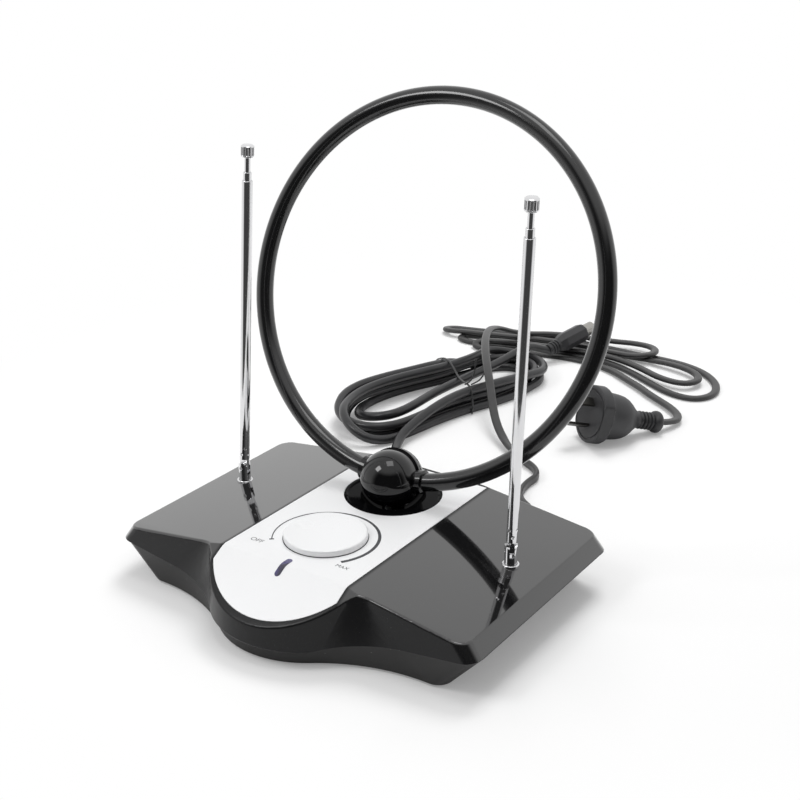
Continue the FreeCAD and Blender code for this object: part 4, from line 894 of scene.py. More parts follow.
@dataclass
class Base:
    """Winged housing with its silver panel, dial marks, window, feet and screws, and what it holds."""

    panel_top: float = 37.4
    knob_y: float = -29.9
    arc_radius: float = 26.7
    arc_from: float = 218.5
    arc_sweep: float = -255.7
    arc_thin: float = 0.55
    arc_thick: float = 2.0
    tick_shift: float = 0.1
    tick_half: tuple[float, float] = (1.2, 0.55)
    # Inner and outer radii of the painted shadow ring in the gap round the knob, and its points round.
    gap_shadow_radii: tuple[float, float] = (19.0, 21.5)
    gap_shadow_steps: int = 120
    print_lift: float = 0.03
    off_word: Triple = (34.0, -140.6, 3.1)
    max_word: Triple = (31.6, -38.9, 2.5)
    font_ratio: float = 1.4
    foot: tuple[float, float, float, float] = (80.0, 46.0, 6.0, 2.3)
    screw: Triple = (66.0, 45.0, 6.8)
    recess: Triple = (0.9, 0.4, 0.3)

    def build(self, frame: dict[str, Any]) -> None:
        """Builds the base's pieces.

        Args:
            frame: Loaded frame.
        """
        body = Body.BASE.value
        shells = {
            "upper_shell": ("upper_housing", GLOSS_BLACK),
            "lower_shell": ("lower_housing", SATIN_BLACK),
            "silver_panel": ("fascia_panel", FASCIA_SILVER),
            "indicator_window": ("led_window", WINDOW_VIOLET),
            "coax_strain_relief": ("coax_gland", SATIN_BLACK),
            "mains_strain_relief": ("mains_gland", SATIN_BLACK),
        }
        for name, (node, finish) in shells.items():
            finished(name, node_copy(frame, node), finish, body, [node])
        finished("dial_arc", self.dial_arc(), DIAL_INK_AND_GAP_SHADOW, body)
        finished("dial_tick", self.dial_tick(), DIAL_INK_AND_GAP_SHADOW, body)
        # Painted shadow: a dark ring in the gap round the knob, in the dial's ink.
        finished("knob_seat_line", self.painted_gap_shadow(), DIAL_INK_AND_GAP_SHADOW, body)
        finished("word_off", self.word("OFF", *self.off_word), WORD_INK, body)
        finished("word_max", self.word("MAX", *self.max_word), WORD_INK, body)
        self.feet(body)
        self.screws(body)
        inside = {
            "potentiometer": POT_CASE,
            "amplifier_board": BOARD_MASK,
            "board_screws": ZINC,
            "indicator_led": LAMP_EPOXY,
            "transformer_core": CORE_PLATES,
            "transformer_winding": COIL_TAPE,
            "left_contact_blade": BRASS,
            "right_contact_blade": BRASS,
        }
        for node, finish in inside.items():
            dress(frame, node, finish)

    def dial_arc(self) -> bmesh.types.BMesh:
        """Printed arc round the knob, thin at its low end and thick at its high end.

        Returns:
            The arc's thin mesh.
        """
        sizes = {
            "Radius": self.arc_radius / 1000,
            "Thin": self.arc_thin / 1000,
            "Thick": self.arc_thick / 1000,
            "From": math.radians(self.arc_from),
            "Sweep": math.radians(self.arc_sweep),
            "Points": 160,
            "Finish": DIAL_INK_AND_GAP_SHADOW.material(),
        }
        tree = Recipe("swelling_arc", sizes)
        sockets = {
            "Resolution": tree.size("Points"),
            "Radius": tree.size("Radius"),
            "Start Angle": tree.size("From"),
            "Sweep Angle": tree.size("Sweep"),
        }
        arc = tree.node("GeometryNodeCurveArc", {"mode": "RADIUS"}, sockets)
        along = tree.node("GeometryNodeSplineParameter", None, None, "Factor")
        span = {1: 0.0, 2: 1.0, 3: tree.size("Thin"), 4: tree.size("Thick")}
        width = tree.node("ShaderNodeMapRange", None, {0: along, **span})
        edge = {"Start": (-0.5, 0.0, 0.0), "End": (0.5, 0.0, 0.0)}
        strip = tree.node("GeometryNodeCurvePrimitiveLine", None, edge)
        sweep = {"Curve": arc, "Profile Curve": strip, "Scale": width}
        return self.on_panel(tree.bake(tree.node("GeometryNodeCurveToMesh", None, sweep)))

    def on_panel(self, form: bmesh.types.BMesh) -> bmesh.types.BMesh:
        """Lays a flat print about the knob's centre on the panel, face up.

        Args:
            form: Print about the origin.

        Returns:
            The same mesh in its place.
        """
        form.transform(Matrix.Translation(spot(0.0, self.knob_y, self.panel_top + self.print_lift)))
        for face in form.faces:
            if face.normal.z < 0:
                face.normal_flip()
        return form

    def dial_tick(self) -> bmesh.types.BMesh:
        """Short stroke at the arc's low end.

        Returns:
            The stroke's thin mesh.
        """
        form = bmesh.new()
        turn = math.radians(self.arc_from)
        out = Vector((math.cos(turn), math.sin(turn), 0.0))
        across = Vector((-out.y, out.x, 0.0))
        middle = out * (self.arc_radius + self.tick_shift)
        long, wide = self.tick_half
        corners = [(-long, -wide), (long, -wide), (long, wide), (-long, wide)]
        form.faces.new([form.verts.new((middle + out * a + across * b) / 1000) for a, b in corners])
        form.normal_update()
        return self.on_panel(form)

    def painted_gap_shadow(self) -> bmesh.types.BMesh:
        """Painted shadow: a dark ring on the panel that stands in for the shade in the gap round the knob's
        foot.

        Returns:
            The line's thin ring.
        """
        form = bmesh.new()
        inner, outer = (ring_of(form, radius, 0.0, self.gap_shadow_steps) for radius in self.gap_shadow_radii)
        for k in range(self.gap_shadow_steps):
            form.faces.new([inner[k - 1], outer[k - 1], outer[k], inner[k]])
        form.normal_update()
        return self.on_panel(form)

    def word(self, text: str, radius: float, angle: float, height: float) -> bmesh.types.BMesh:
        """Small printed word beside the dial.

        Args:
            text: The word.
            radius: Distance of its middle from the knob's centre.
            angle: Direction of its middle from the knob's centre, in degrees.
            height: Height of the letters.

        Returns:
            The word's thin mesh.
        """
        letters = bpy.data.curves.new(text, "FONT")
        letters.body = text
        letters.size = self.font_ratio * height / 1000
        letters.align_x = "CENTER"
        letters.align_y = "CENTER"
        letters.resolution_u = 3
        holder = bpy.data.objects.new(text, letters)
        mesh = bpy.data.meshes.new_from_object(holder)
        form = bmesh.new()
        form.from_mesh(mesh)
        bpy.data.objects.remove(holder)
        bpy.data.meshes.remove(mesh)
        turn = math.radians(angle)
        shift = Vector((radius * math.cos(turn), radius * math.sin(turn), 0.0)) / 1000
        form.transform(Matrix.Translation(shift))
        form.normal_update()
        return self.on_panel(form)

    def repeated(
        self, name: str, form: bmesh.types.BMesh, x: float, y: float, finish: Finish
    ) -> bmesh.types.BMesh:
        """Repeats one shape at four corners under the base.

        Args:
            name: Name of the tree.
            form: Shape about the origin, which is used up.
            x: Distance of the corners from the middle across.
            y: Distance of the corners from the middle along.
            finish: Finish of the shapes.

        Returns:
            One mesh with the four shapes.
        """
        mesh = bpy.data.meshes.new(name)
        form.to_mesh(mesh)
        form.free()
        pattern = bpy.data.objects.new(name + "_pattern", mesh)
        bpy.context.scene.collection.objects.link(pattern)
        sizes = {
            "Width": 2 * x / 1000,
            "Depth": 2 * y / 1000,
            "Pattern": pattern,
            "Finish": finish.material(),
        }
        tree = Recipe(name, sizes)
        span = {"Size X": tree.size("Width"), "Size Y": tree.size("Depth"), "Vertices X": 2, "Vertices Y": 2}
        corners = tree.node("GeometryNodeMeshGrid", None, span)
        shape = tree.node("GeometryNodeObjectInfo", None, {"Object": tree.size("Pattern")}, "Geometry")
        copies = tree.node("GeometryNodeInstanceOnPoints", None, {"Points": corners, "Instance": shape})
        result = tree.bake(copies)
        bpy.data.objects.remove(pattern)
        result.transform(Matrix.Translation(spot(0.0, 0.0, 0.0)))
        return result

    def feet(self, body: str) -> None:
        """Soft feet with a rounded edge and a shallow hollow in the sole.

        Args:
            body: Body that they ride on.
        """
        x, y, radius, top = self.foot
        sole = [(0.0, 0.35), (radius - 2.6, 0.35), (radius - 2.2, 0.0), (radius - 0.8, 0.0)]
        wall = [(radius - 0.25, 0.2), (radius, 0.7), (radius, top), (0.0, top)]
        form = lathe(sole + wall, Matrix(), 40)
        pieces = self.repeated("feet", form, x, y, FOOT_RUBBER)
        finished("soft_feet", pieces, FOOT_RUBBER, body, ["rubber_feet"])

    def screws(self, body: str) -> None:
        """Pan-headed screws with a cross recess, up their wells.

        Args:
            body: Body that they ride on.
        """
        x, y, low = self.screw
        head = [(0.0, low + 1.2), (0.5, low + 1.2), (0.7, low), (2.2, low), (2.8, low + 0.5)]
        shank = [(3.0, low + 1.2), (3.0, low + 2.2), (1.5, low + 2.2), (1.5, low + 18.2), (0.0, low + 19.2)]
        form = lathe(head + shank, Matrix(), 32)
        reach, half, step = self.recess
        for vertex in form.verts:
            across = min(abs(vertex.co.x), abs(vertex.co.y)) * 1000
            at_rim = vertex.co.xy.length * 1000 < reach and vertex.co.z * 1000 < low + step
            if at_rim and across > half:
                vertex.co.z += step / 1000
        pieces = self.repeated("screws", form, x, y, ZINC)
        finished("base_screws", pieces, ZINC, body, ["housing_screws"])


@dataclass
class GainKnob:
    """Flat silver knob with a finger dimple, on its shaft."""

    crease: float = 28.0

    def build(self, frame: dict[str, Any]) -> None:
        """Builds the knob's pieces.

        Args:
            frame: Loaded frame.
        """
        form = node_copy(frame, "gain_knob")
        finished("dimpled_knob", form, KNOB_SILVER, Body.KNOB.value, ["gain_knob"], self.crease)
        dress(frame, "pot_shaft", ZINC)


@dataclass
class LoopStand:
    """Turntable, split ball and the loop that leans on it."""

    ball: Triple = (0.0, 29.1, 46.6)
    lean: float = 18.7
    turn: float = 3.5
    radius: float = 100.0
    tube: float = 4.75
    opening: float = 3.0

    def place(self) -> Matrix:
        """Matrix from the ball's own axes to the shared frame."""
        return Matrix.Translation(spot(*self.ball)) @ turned("Z", self.turn) @ turned("X", -self.lean)

    def build(self, frame: dict[str, Any]) -> None:
        """Builds the stand's pieces.

        Args:
            frame: Loaded frame.
        """
        form = node_copy(frame, "turntable")
        finished("swivel_dish", form, DISH_BLACK, Body.TURNTABLE.value, ["turntable"])
        dress(frame, "turntable_clip", SATIN_BLACK)
        for half in ("front", "rear"):
            node = f"loop_ball_{half}"
            finished(f"ball_{half}_half", node_copy(frame, node), BALL_BLACK, Body.LOOP.value, [node])
        finished("loop_sleeve", self.ring(), LOOP_BLACK, Body.LOOP.value, ["uhf_loop"])
        for node in ("ball_stud", "friction_washer", "stud_nut"):
            dress(frame, node, ZINC)

    def ring(self) -> bmesh.types.BMesh:
        """Round sleeve bent to a ring, open inside the ball.

        Returns:
            The ring's mesh in its place.
        """
        sizes = {
            "Radius": self.radius / 1000,
            "Tube": self.tube / 1000,
            "From": math.radians(self.opening - 90.0),
            "Sweep": math.radians(360.0 - 2 * self.opening),
            "Points": 300,
            "Sides": 40,
            "Finish": LOOP_BLACK.material(),
        }
        tree = Recipe("bent_sleeve", sizes)
        sockets = {
            "Resolution": tree.size("Points"),
            "Radius": tree.size("Radius"),
            "Start Angle": tree.size("From"),
            "Sweep Angle": tree.size("Sweep"),
        }
        arc = tree.node("GeometryNodeCurveArc", {"mode": "RADIUS"}, sockets)
        round_size = {"Resolution": tree.size("Sides"), "Radius": tree.size("Tube")}
        section = tree.node("GeometryNodeCurvePrimitiveCircle", {"mode": "RADIUS"}, round_size)
        sweep = {"Curve": arc, "Profile Curve": section, "Fill Caps": True}
        form = tree.bake(tree.node("GeometryNodeCurveToMesh", None, sweep))
        upright = Matrix.Translation(Vector((0, 0, self.radius / 1000))) @ turned("X", 90.0)
        form.transform(self.place() @ upright)
        bmesh.ops.recalc_face_normals(form, faces=form.faces)
        return form


@dataclass
class Rod:
    """Telescopic rod on its swivel, with a fluted cap."""

    side: Side
    turn: float
    lean: float
    foot: Triple = (84.0, 7.5, 39.02)
    length: float = 179.2
    cap: tuple[float, float, int] = (3.3, 6.2, 16)
    tube: float = 2.7
    middle: float = 2.1
    inner: float = 1.5
    wall: float = 0.4
    slide: float = 0.1
    lip: float = 1.0
    tube_low: float = 5.5
    middle_low: float = 17.5
    inner_low: float = 20.5
    inner_show: float = 7.6
    middle_show: float = 4.3
    ring_pitch: float = 0.25
    ring_count: int = 43
    crimp_rows: tuple[float, float] = (3.15, 6.75)
    dimple: tuple[float, float] = (0.85, 0.3)
    bar: float = 0.34
    crease: float = 40.0

    def place(self) -> Matrix:
        """Matrix from the rod's own axis to the shared frame.

        Returns:
            The matrix.
        """
        x, y, z = self.foot
        stand = Matrix.Translation(spot(self.side.sign * x, y, z))
        return stand @ turned("Z", self.turn) @ turned("Y", self.lean)

    def build(self, frame: dict[str, Any]) -> None:
        """Builds the rod's pieces.

        Args:
            frame: Loaded frame.
        """
        side = self.side.value
        for name, node, body in (
            ("ferrule", "rod_bush", Body.BASE.value),
            ("fork", "swivel_fork", f"{side}_swivel"),
            ("root", "rod_root", f"{side}_rod"),
        ):
            form = node_copy(frame, f"{side}_{node}")
            finished(f"{side}_{name}", form, CHROME, body, [f"{side}_{node}"])
        for node in ("swivel_clip", "hinge_pin"):
            dress(frame, f"{side}_{node}", ZINC)
        cap_low = self.length - self.cap[1]
        middle_high = cap_low - self.inner_show
        tube_high = middle_high - self.middle_show
        for name, node, part, radius, low, high, core in (
            ("outer_tube", "rod_tube", "rod", self.tube, self.tube_low, tube_high, self.middle),
            ("middle_tube", "rod_middle", "middle", self.middle, self.middle_low, middle_high, self.inner),
        ):
            form = self.lipped(radius, low, high, core)
            finished(f"{side}_{name}", form, CHROME, f"{side}_{part}", [f"{side}_{node}"], self.crease)
        low = self.inner_low
        form = lathe([(0.0, low), (self.inner, low), (self.inner, cap_low), (0.0, cap_low)], self.place(), 32)
        finished(f"{side}_inner_rod", form, CHROME, f"{side}_tip", [f"{side}_rod_inner"])
        form = self.fluted_cap(cap_low)
        finished(f"{side}_tip_cap", form, CHROME, f"{side}_tip", [f"{side}_rod_cap"], self.crease)

    def lipped(self, radius: float, low: float, high: float, core: float) -> bmesh.types.BMesh:
        """Tube rolled in at its upper end, crimped on its root where it is the outer one.

        Args:
            radius: Outer radius.
            low: Lower end along the rod.
            high: Upper end along the rod.
            core: Radius of the section that slides in it.

        Returns:
            The tube's mesh in its place.
        """
        bore = radius - self.wall
        bend = self.wall
        heights = [low + self.ring_pitch * k for k in range(1, self.ring_count + 1)]
        outside = [(radius, low)] + [(radius, h) for h in heights] + [(radius, high - bend)]
        roll = [math.radians(a) for a in (22.5, 45, 67.5, 90)]
        lip = [(radius - bend + bend * math.cos(a), high - bend + bend * math.sin(a)) for a in roll]
        hole = core + self.slide
        inside = [(hole, high), (hole, high - self.lip), (bore, high - self.lip), (bore, low)]
        form = lathe(outside + lip + inside, Matrix(), 48, closed=True)
        if radius == self.tube:
            self.crimp(form, low)
        form.transform(self.place())
        return form

    def crimp(self, form: bmesh.types.BMesh, low: float) -> None:
        """Presses two rows of four dimples in the outer tube.

        Args:
            form: Tube about its own axis.
            low: Lower end of the tube.
        """
        reach, depth = self.dimple
        for row, rise in enumerate(self.crimp_rows):
            for k in range(4):
                turn = math.radians(90 * k + 45 * row)
                out = Vector((math.cos(turn), math.sin(turn), 0.0))
                middle = out * (self.tube / 1000) + Vector((0, 0, (low + rise) / 1000))
                for vertex in form.verts:
                    away = (vertex.co - middle).length * 1000
                    if away < reach and vertex.co.xy.length * 1000 > self.tube - self.wall / 4:
                        vertex.co -= out * (depth / 1000 * (1.0 - (away / reach) ** 2))

    def fluted_cap(self, low: float) -> bmesh.types.BMesh:
        """Cap of grip bars set round a core, between two chamfered rims.

        Args:
            low: Lower end along the rod.

        Returns:
            The cap's mesh in its place.
        """
        radius, height, count = self.cap
        waist = radius - 0.3
        high = low + height
        core = [(0, low), (radius - 0.5, low), (radius, low + 0.45), (radius, low + 0.9), (waist, low + 1.1)]
        crown = [(waist, high - 1.2), (radius, high - 1.0), (radius, high - 0.6), (radius - 0.6, high - 0.1)]
        form = lathe(core + crown + [(radius - 1.2, high), (0, high)], Matrix(), 64)
        sizes = {
            "Ring": waist / 1000,
            "Bar": self.bar / 1000,
            "Length": (height - 2.1) / 1000,
            "Count": count,
            "Finish": CHROME.material(),
        }
        tree = Recipe("grip_bars", sizes)
        round_size = {"Vertices": tree.size("Count"), "Radius": tree.size("Ring")}
        ring = tree.node("GeometryNodeMeshCircle", None, round_size)
        size = {"Vertices": 10, "Radius": tree.size("Bar"), "Depth": tree.size("Length")}
        bar = tree.node("GeometryNodeMeshCylinder", None, size)
        bars = tree.bake(tree.node("GeometryNodeInstanceOnPoints", None, {"Points": ring, "Instance": bar}))
        bars.transform(Matrix.Translation(Vector((0, 0, (low + high) / 2000))))
        form = joined(form, bars)
        form.transform(self.place())
        return form


# Way of the aerial lead from its strain relief to the hank, in the drawing's millimetres.
COAX_START: list[Triple] = [
    (-40, 85.9, 9), (-41.5, 99, 8), (-47, 110, 5.5), (-57, 119.5, 3.6), (-68, 130, 3.1), (-76, 143, 3.6),
]
# Its turns in the hank, as distances along and across from the hank's middle and heights.
COAX_TURNS: list[Triple] = [
    (-72, 25, 7.2), (-56, 24.5, 11), (-40, 24, 14), (-24, 24, 15.4), (-8, 24.5, 15.5), (10, 28.5, 15.5),
    (30, 32.5, 14.8), (48, 34.5, 13.4), (69, 34.5, 10.8), (87, 18, 9.2), (87, -4, 9.4), (71, -17.5, 13.4),
    (57, -13, 15.5), (42, -11, 16.3), (20, -13.5, 16.3), (-4, -20.5, 16.3), (-28, -26.5, 16.3),
    (-50, -28.5, 16.2), (-70, -24, 16), (-87, -14.5, 16.2), (-95.5, -1, 12), (-93, 13, 5.5),
    (-80, 20, 3), (-58, 22, 3), (-34, 22.5, 3), (-10, 25.5, 3), (12, 31, 3), (35, 34.5, 3), (52, 33.5, 3),
    (69, 31.5, 3), (84, 17.4, 3), (84, -2.4, 3), (69, -17, 3), (54, -22.5, 5), (38, -24, 11.5),
    (20, -21.5, 16), (-4, -27.4, 16.2), (-28, -33.6, 16.2), (-48, -36, 16.4), (-66, -34, 15.2),
    (-81, -25, 11), (-87, -8, 8.8), (-82, 8.5, 8.8),
    (-69, 16.5, 8.8), (-52, 18.5, 8.8), (-32, 18, 8.8), (-12, 19.5, 8.8), (10, 26, 8.8), (32, 30, 8.7),
    (50, 29.5, 8.6), (66.6, 28.2, 8.6), (79.7, 15.6, 8.6), (79.7, -1.4, 8.6), (66.6, -13.7, 8.6),
    (54, -16, 8.8), (38, -17.5, 9.2), (18, -18.5, 9.7), (-5, -25, 9.8), (-28, -31, 9.6), (-48, -34.5, 8.8),
    (-66, -31, 5.5), (-79, -19, 3.5), (-83, -4, 3), (-77, 9.5, 3),
    (-64, 14.5, 3), (-46, 15.5, 3), (-28, 16, 3), (-10, 19, 3), (12, 24.5, 3), (33, 27, 3), (48, 26, 3),
    (64.3, 24.5, 3), (75.5, 14.3, 3), (75.5, -0.3, 3), (64.3, -10.5, 3), (51, -13.5, 3), (36, -16.5, 3),
    (18, -22, 3), (-5, -29, 3), (-28, -32.5, 3), (-45, -31.5, 3), (-58, -27, 4), (-69, -16.5, 6.5),
    (-72.5, -3, 10), (-67.5, 7.5, 12.3),
    (-56, 10.5, 12.8), (-40, 9, 12.8), (-24, 6.5, 12.8), (-6, 5, 12.8), (14, 4.5, 12.8), (36, 4.5, 12.8),
    (59, 4.5, 13.6), (76, 4.8, 15.6), (90, 5.5, 16), (98, 8.3, 12.8),
]
# Way of the mains lead from its strain relief to its plug, in the drawing's millimetres.
MAINS_ROUTE: list[Triple] = [
    (52, 85.9, 9), (49.5, 97, 8.4), (41, 107, 6.6), (29.5, 116.5, 4.2), (21.5, 128, 2.9), (18.5, 141.5, 2.9),
    (19.5, 154, 2.9), (12.5, 163, 2.9), (1, 169, 2.9), (-10.5, 176, 3.2), (-22, 185, 5), (-33.5, 195, 9.5),
    (-43.5, 206.5, 16), (-53, 219.5, 22.5), (-63.5, 233.5, 27.5), (-75.5, 250.5, 30.5), (-87, 269, 31.5),
    (-97.5, 288, 30.5), (-106, 308, 27.5), (-110, 328, 21.5), (-109.5, 347, 13), (-104.5, 364, 7),
    (-93, 378, 5.2), (-77, 384.5, 5), (-60, 387, 5), (-44, 390.5, 5), (-31, 395, 5), (-18, 394.5, 5.4),
    (-8.5, 386, 6.2), (-8.5, 373, 7), (-18, 364.5, 7), (-33, 364.5, 6.4),
    (-50, 367.5, 5.4), (-70, 367.5, 5), (-92, 363.5, 5), (-114, 357, 5), (-136, 350, 5), (-150, 345.5, 5.2),
    (-160, 343, 4.6), (-168, 345.5, 3.6), (-169.5, 351.5, 2.4), (-165, 357, 1.8), (-156, 359.5, 1.7),
    (-144, 363, 1.7), (-122, 370.5, 1.7), (-100, 377.5, 1.7), (-76, 381.5, 1.7), (-50, 382.5, 1.7),
    (-26, 382, 1.7), (-4, 383, 1.7), (16, 382, 1.7), (36, 373.5, 1.7), (51, 357, 1.7), (56, 337.5, 1.7),
    (47.5, 323, 1.7), (29, 324, 1.7), (8, 335.5, 1.7), (-14, 348.5, 1.7),
    (-36, 356, 1.7), (-58, 356, 1.7), (-80, 351.5, 1.7), (-102, 346.5, 1.7), (-122, 340.5, 1.7),
    (-136, 336.5, 1.7), (-145, 336, 1.8), (-150.5, 339.5, 1.9), (-150.5, 345, 1.9), (-144, 349, 1.8),
    (-128, 354.5, 1.7), (-104, 362, 1.7), (-80, 369, 1.7), (-56, 372.5, 1.7), (-32, 373.5, 1.9),
    (-8, 373, 3.4), (14, 370.5, 4.8), (32, 363.5, 4.8), (40, 350.5, 4.8), (33.5, 338.5, 4.8),
    (15, 339.5, 4.8), (-6, 351, 4.8), (-28, 358.5, 4.9), (-50, 359, 5), (-72, 354.5, 5), (-92, 350, 5),
    (-108, 345.5, 5),
    (-121, 341.5, 5), (-130, 337.5, 4.4), (-133, 332.5, 3.2), (-129.5, 328.5, 2), (-121, 329.5, 1.7),
    (-106, 334.5, 1.7), (-86, 341, 1.7), (-64, 346.5, 1.7), (-43, 347.5, 1.7), (-21, 339.5, 2.4),
    (-6, 329.5, 2.8), (8.5, 320.5, 3), (19.5, 312, 3), (31.7, 304.5, 3), (43.7, 296.5, 3), (52.5, 286.5, 3.2),
    (54.7, 275, 4), (48.5, 263, 6.6),
]


@dataclass
class CoaxLead:
    """Round aerial lead in a tied hank, with its plug."""

    radius: float = 3.0
    length: float = 1.803
    hank: tuple[float, float] = (-95.0, 230.0)
    hank_turn: float = -7.0
    plug: tuple[Triple, Triple] = ((-71.0, 333.0, 10.1), (-60.0, 366.0, 16.8))
    tie_half: tuple[float, float] = (0.75, 0.5)
    tie_sides: int = 10
    tie_end_share: float = 0.8

    def hank_spot(self, along: float, across: float, height: float) -> Vector:
        """Point of the hank from its own axes.

        Args:
            along: Distance along the hank from its middle.
            across: Distance across it.
            height: Height above the table.

        Returns:
            The point in the shared frame.
        """
        turn = math.radians(self.hank_turn)
        x = self.hank[0] - math.sin(turn) * along + math.cos(turn) * across
        y = self.hank[1] + math.cos(turn) * along + math.sin(turn) * across
        return spot(x, y, height)

    def build(self, frame: dict[str, Any]) -> None:
        """Builds the lead, its tie and its plug.

        Args:
            frame: Loaded frame.
        """
        body = Body.BASE.value
        route = [spot(*p) for p in COAX_START] + [self.hank_spot(*p) for p in COAX_TURNS]
        route.append(spot(*self.plug[0]))
        lead = route_curve("aerial_lead", route, self.radius / 1000)
        lead.data.materials.append(COAX_SHEATH.material())
        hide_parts("coax_lead", "coax_hank", "coax_tail")
        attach(lead, body)
        plug = finished("aerial_plug", self.plug_body(), PLUG_RUBBER, body, ["coax_plug"])
        shell = finished("aerial_plug_shell", node_copy(frame, "coax_shell"), NICKEL, body, ["coax_shell"])
        pin = finished("aerial_plug_pin", node_copy(frame, "coax_pin"), NICKEL, body, ["coax_pin"])
        tie = finished("hank_tie", self.tie(), TIE_SHEATH, body, ["coax_tie"], 60.0)
        log.info("cord aerial_lead: %.0f mm", self.length * 1000)

    def tie(self) -> bmesh.types.BMesh:
        """Wire tie that slants over the hank, with its twisted ends standing up.

        Returns:
            The tie's mesh.
        """
        over = [
            (29, -33, 0.8), (29, -33.5, 7), (28.5, -32, 13), (27, -28, 16.2), (24, -20.5, 19.2),
            (20.5, -13.5, 20.2), (16, -6.5, 18.8), (11, 1, 16.9), (6, 7.5, 16.6), (0, 16, 17.8),
            (-4, 22.5, 19.2), (-6, 26.5, 18.8), (-7, 28.8, 15), (-7.4, 29.8, 9), (-7.5, 30.3, 4),
            (-7.5, 29.6, 0.6),
        ]
        ends = [
            [(-6, 22, 19.2), (-1.2, 23.4, 20.6), (1.4, 23.8, 25), (2.2, 24.2, 30), (1.8, 24.8, 36)],
            [(-3, 25, 19.2), (3, 26.5, 20), (5.4, 28, 23.4), (6.4, 29.4, 26.6)],
        ]
        wide, high = self.tie_half
        turns = [2 * math.pi * k / self.tie_sides for k in range(self.tie_sides)]
        oval = [(wide * math.cos(t), high * math.sin(t)) for t in turns]
        form = swept(line_of([self.hank_spot(*p) for p in over]), oval)
        for end in ends:
            narrow = [(self.tie_end_share * a, b) for a, b in oval]
            form = joined(form, swept(line_of([self.hank_spot(*p) for p in end]), narrow))
        return form

    def plug_body(self) -> bmesh.types.BMesh:
        """Eight-sided grip of the plug with a round, grooved boot.

        Returns:
            The plug's mesh in its place.
        """
        place = laid_along(spot(*self.plug[0]), spot(*self.plug[1]))
        boot = [(0, 0), (4.2, 0), (4.5, 0.5), (4.6, 2.0)]
        for low in (2.4, 4.8, 7.2):
            boot += [(3.9, low), (3.9, low + 0.7), (4.7, low + 1.0), (4.8, low + 2.0)]
        grip = [(0, 10.0), (5.0, 10.0), (5.6, 10.6), (6.8, 14.4), (7.0, 15.4)]
        grip += [(7.0, 33.6), (6.4, 35.3), (0, 35.3)]
        return joined(lathe(boot + [(4.8, 11.4), (0, 11.4)], place, 40), lathe(grip, place, 8))


@dataclass
class MainsLead:
    """Flat two-core lead, folded behind the base, with its moulded plug."""

    width: float = 5.6
    thickness: float = 3.2
    length: float = 1.736
    plug: tuple[Triple, Triple] = ((48.5, 263.0, 6.6), (18.8, 221.9, 19.9))
    flat: float = 15.5
    rim: float = 44.4
    on_edge: tuple[float, float, float, float] = (8.0, 30.0, 95.0, 135.0)

    def build(self, frame: dict[str, Any]) -> None:
        """Builds the lead and its plug.

        Args:
            frame: Loaded frame.
        """
        body = Body.BASE.value
        line = line_of([spot(*p) for p in MAINS_ROUTE])
        nodes = ["mains_lead", "mains_hank", "mains_tail"]
        tube = swept(line, self.section(), self.twist(line))
        lead = finished("mains_flat_lead", tube, MAINS_SHEATH, body, nodes, 50.0)
        plug = finished("mains_moulded_plug", self.plug_body(), PLUG_RUBBER, body, ["mains_plug"], 36.0)
        # The blades' near-black colour is painted shade of the plug's face.
        blades = node_copy(frame, "plug_pins")
        pins = finished("mains_plug_blades", blades, BLADE_PLATING_AND_SHADE, body, ["plug_pins"])
        log.info("cord mains_flat_lead: %.0f mm", self.length * 1000)

    def plug_body(self) -> bmesh.types.BMesh:
        """Plug with a round bulb, a ribbed neck, a bell and a stepped flange with two flats.

        Returns:
            The plug's mesh in its place.
        """
        bulb = [(0, 0), (5.0, 0), (6.3, 0.4), (7.0, 1.4), (7.2, 2.7), (7.0, 4.1), (6.2, 5.2), (5.0, 5.8)]
        neck = []
        for low in (6.0, 8.7, 11.4, 14.1):
            neck += [(4.7, low), (4.7, low + 0.8), (5.6, low + 1.1), (5.9, low + 1.6), (5.6, low + 2.3)]
        bell = [(5.3, 16.8), (5.6, 18.0), (6.6, 20.0), (8.4, 22.3), (10.6, 24.8), (12.5, 27.4), (13.7, 30.0)]
        bell += [(14.4, 33.0), (14.9, 37.0), (15.2, 41.0), (15.3, 43.4), (15.7, 44.0)]
        flange = [(17.4, 44.5), (18.2, 44.9), (18.6, 45.7), (18.6, 51.3), (18.3, 52.0), (17.5, 52.4)]
        face = [(16.4, 52.4), (16.2, 51.9), (15.3, 51.9), (15.1, 52.4), (0, 52.4)]
        form = lathe(bulb + neck + bell + flange + face, Matrix(), 96)
        for vertex in form.verts:
            if vertex.co.z * 1000 > self.rim:
                vertex.co.y = max(min(vertex.co.y, self.flat / 1000), -self.flat / 1000)
        form.transform(laid_along(spot(*self.plug[0]), spot(*self.plug[1])))
        return form

    def twist(self, line: Sequence[Vector]) -> list[float]:
        """Twist of the lead, which stands on its edge for a stretch behind the base.

        Args:
            line: Points of the lead.

        Returns:
            The angle in degrees at each point.
        """
        start, upright, leaning, flat = self.on_edge
        angles = []
        run = 0.0
        for before, here in zip(line[:1] + line[:-1], line):
            run += (here - before).length * 1000
            rise = (run - start) / (upright - start)
            fall = (flat - run) / (flat - leaning)
            angles.append(90.0 * max(min(rise, fall, 1.0), 0.0))
        return angles

    def section(self) -> list[tuple[float, float]]:
        """Flat section with round edges.

        Returns:
            Its corners, across and up.
        """
        half = self.thickness / 2
        reach = self.width / 2 - half
        right = [math.radians(a) for a in (-90, -60, -30, 0, 30, 60, 90)]
        edge = [(reach + half * math.cos(a), half * math.sin(a)) for a in right]
        return edge + [(-a, -b) for a, b in edge]


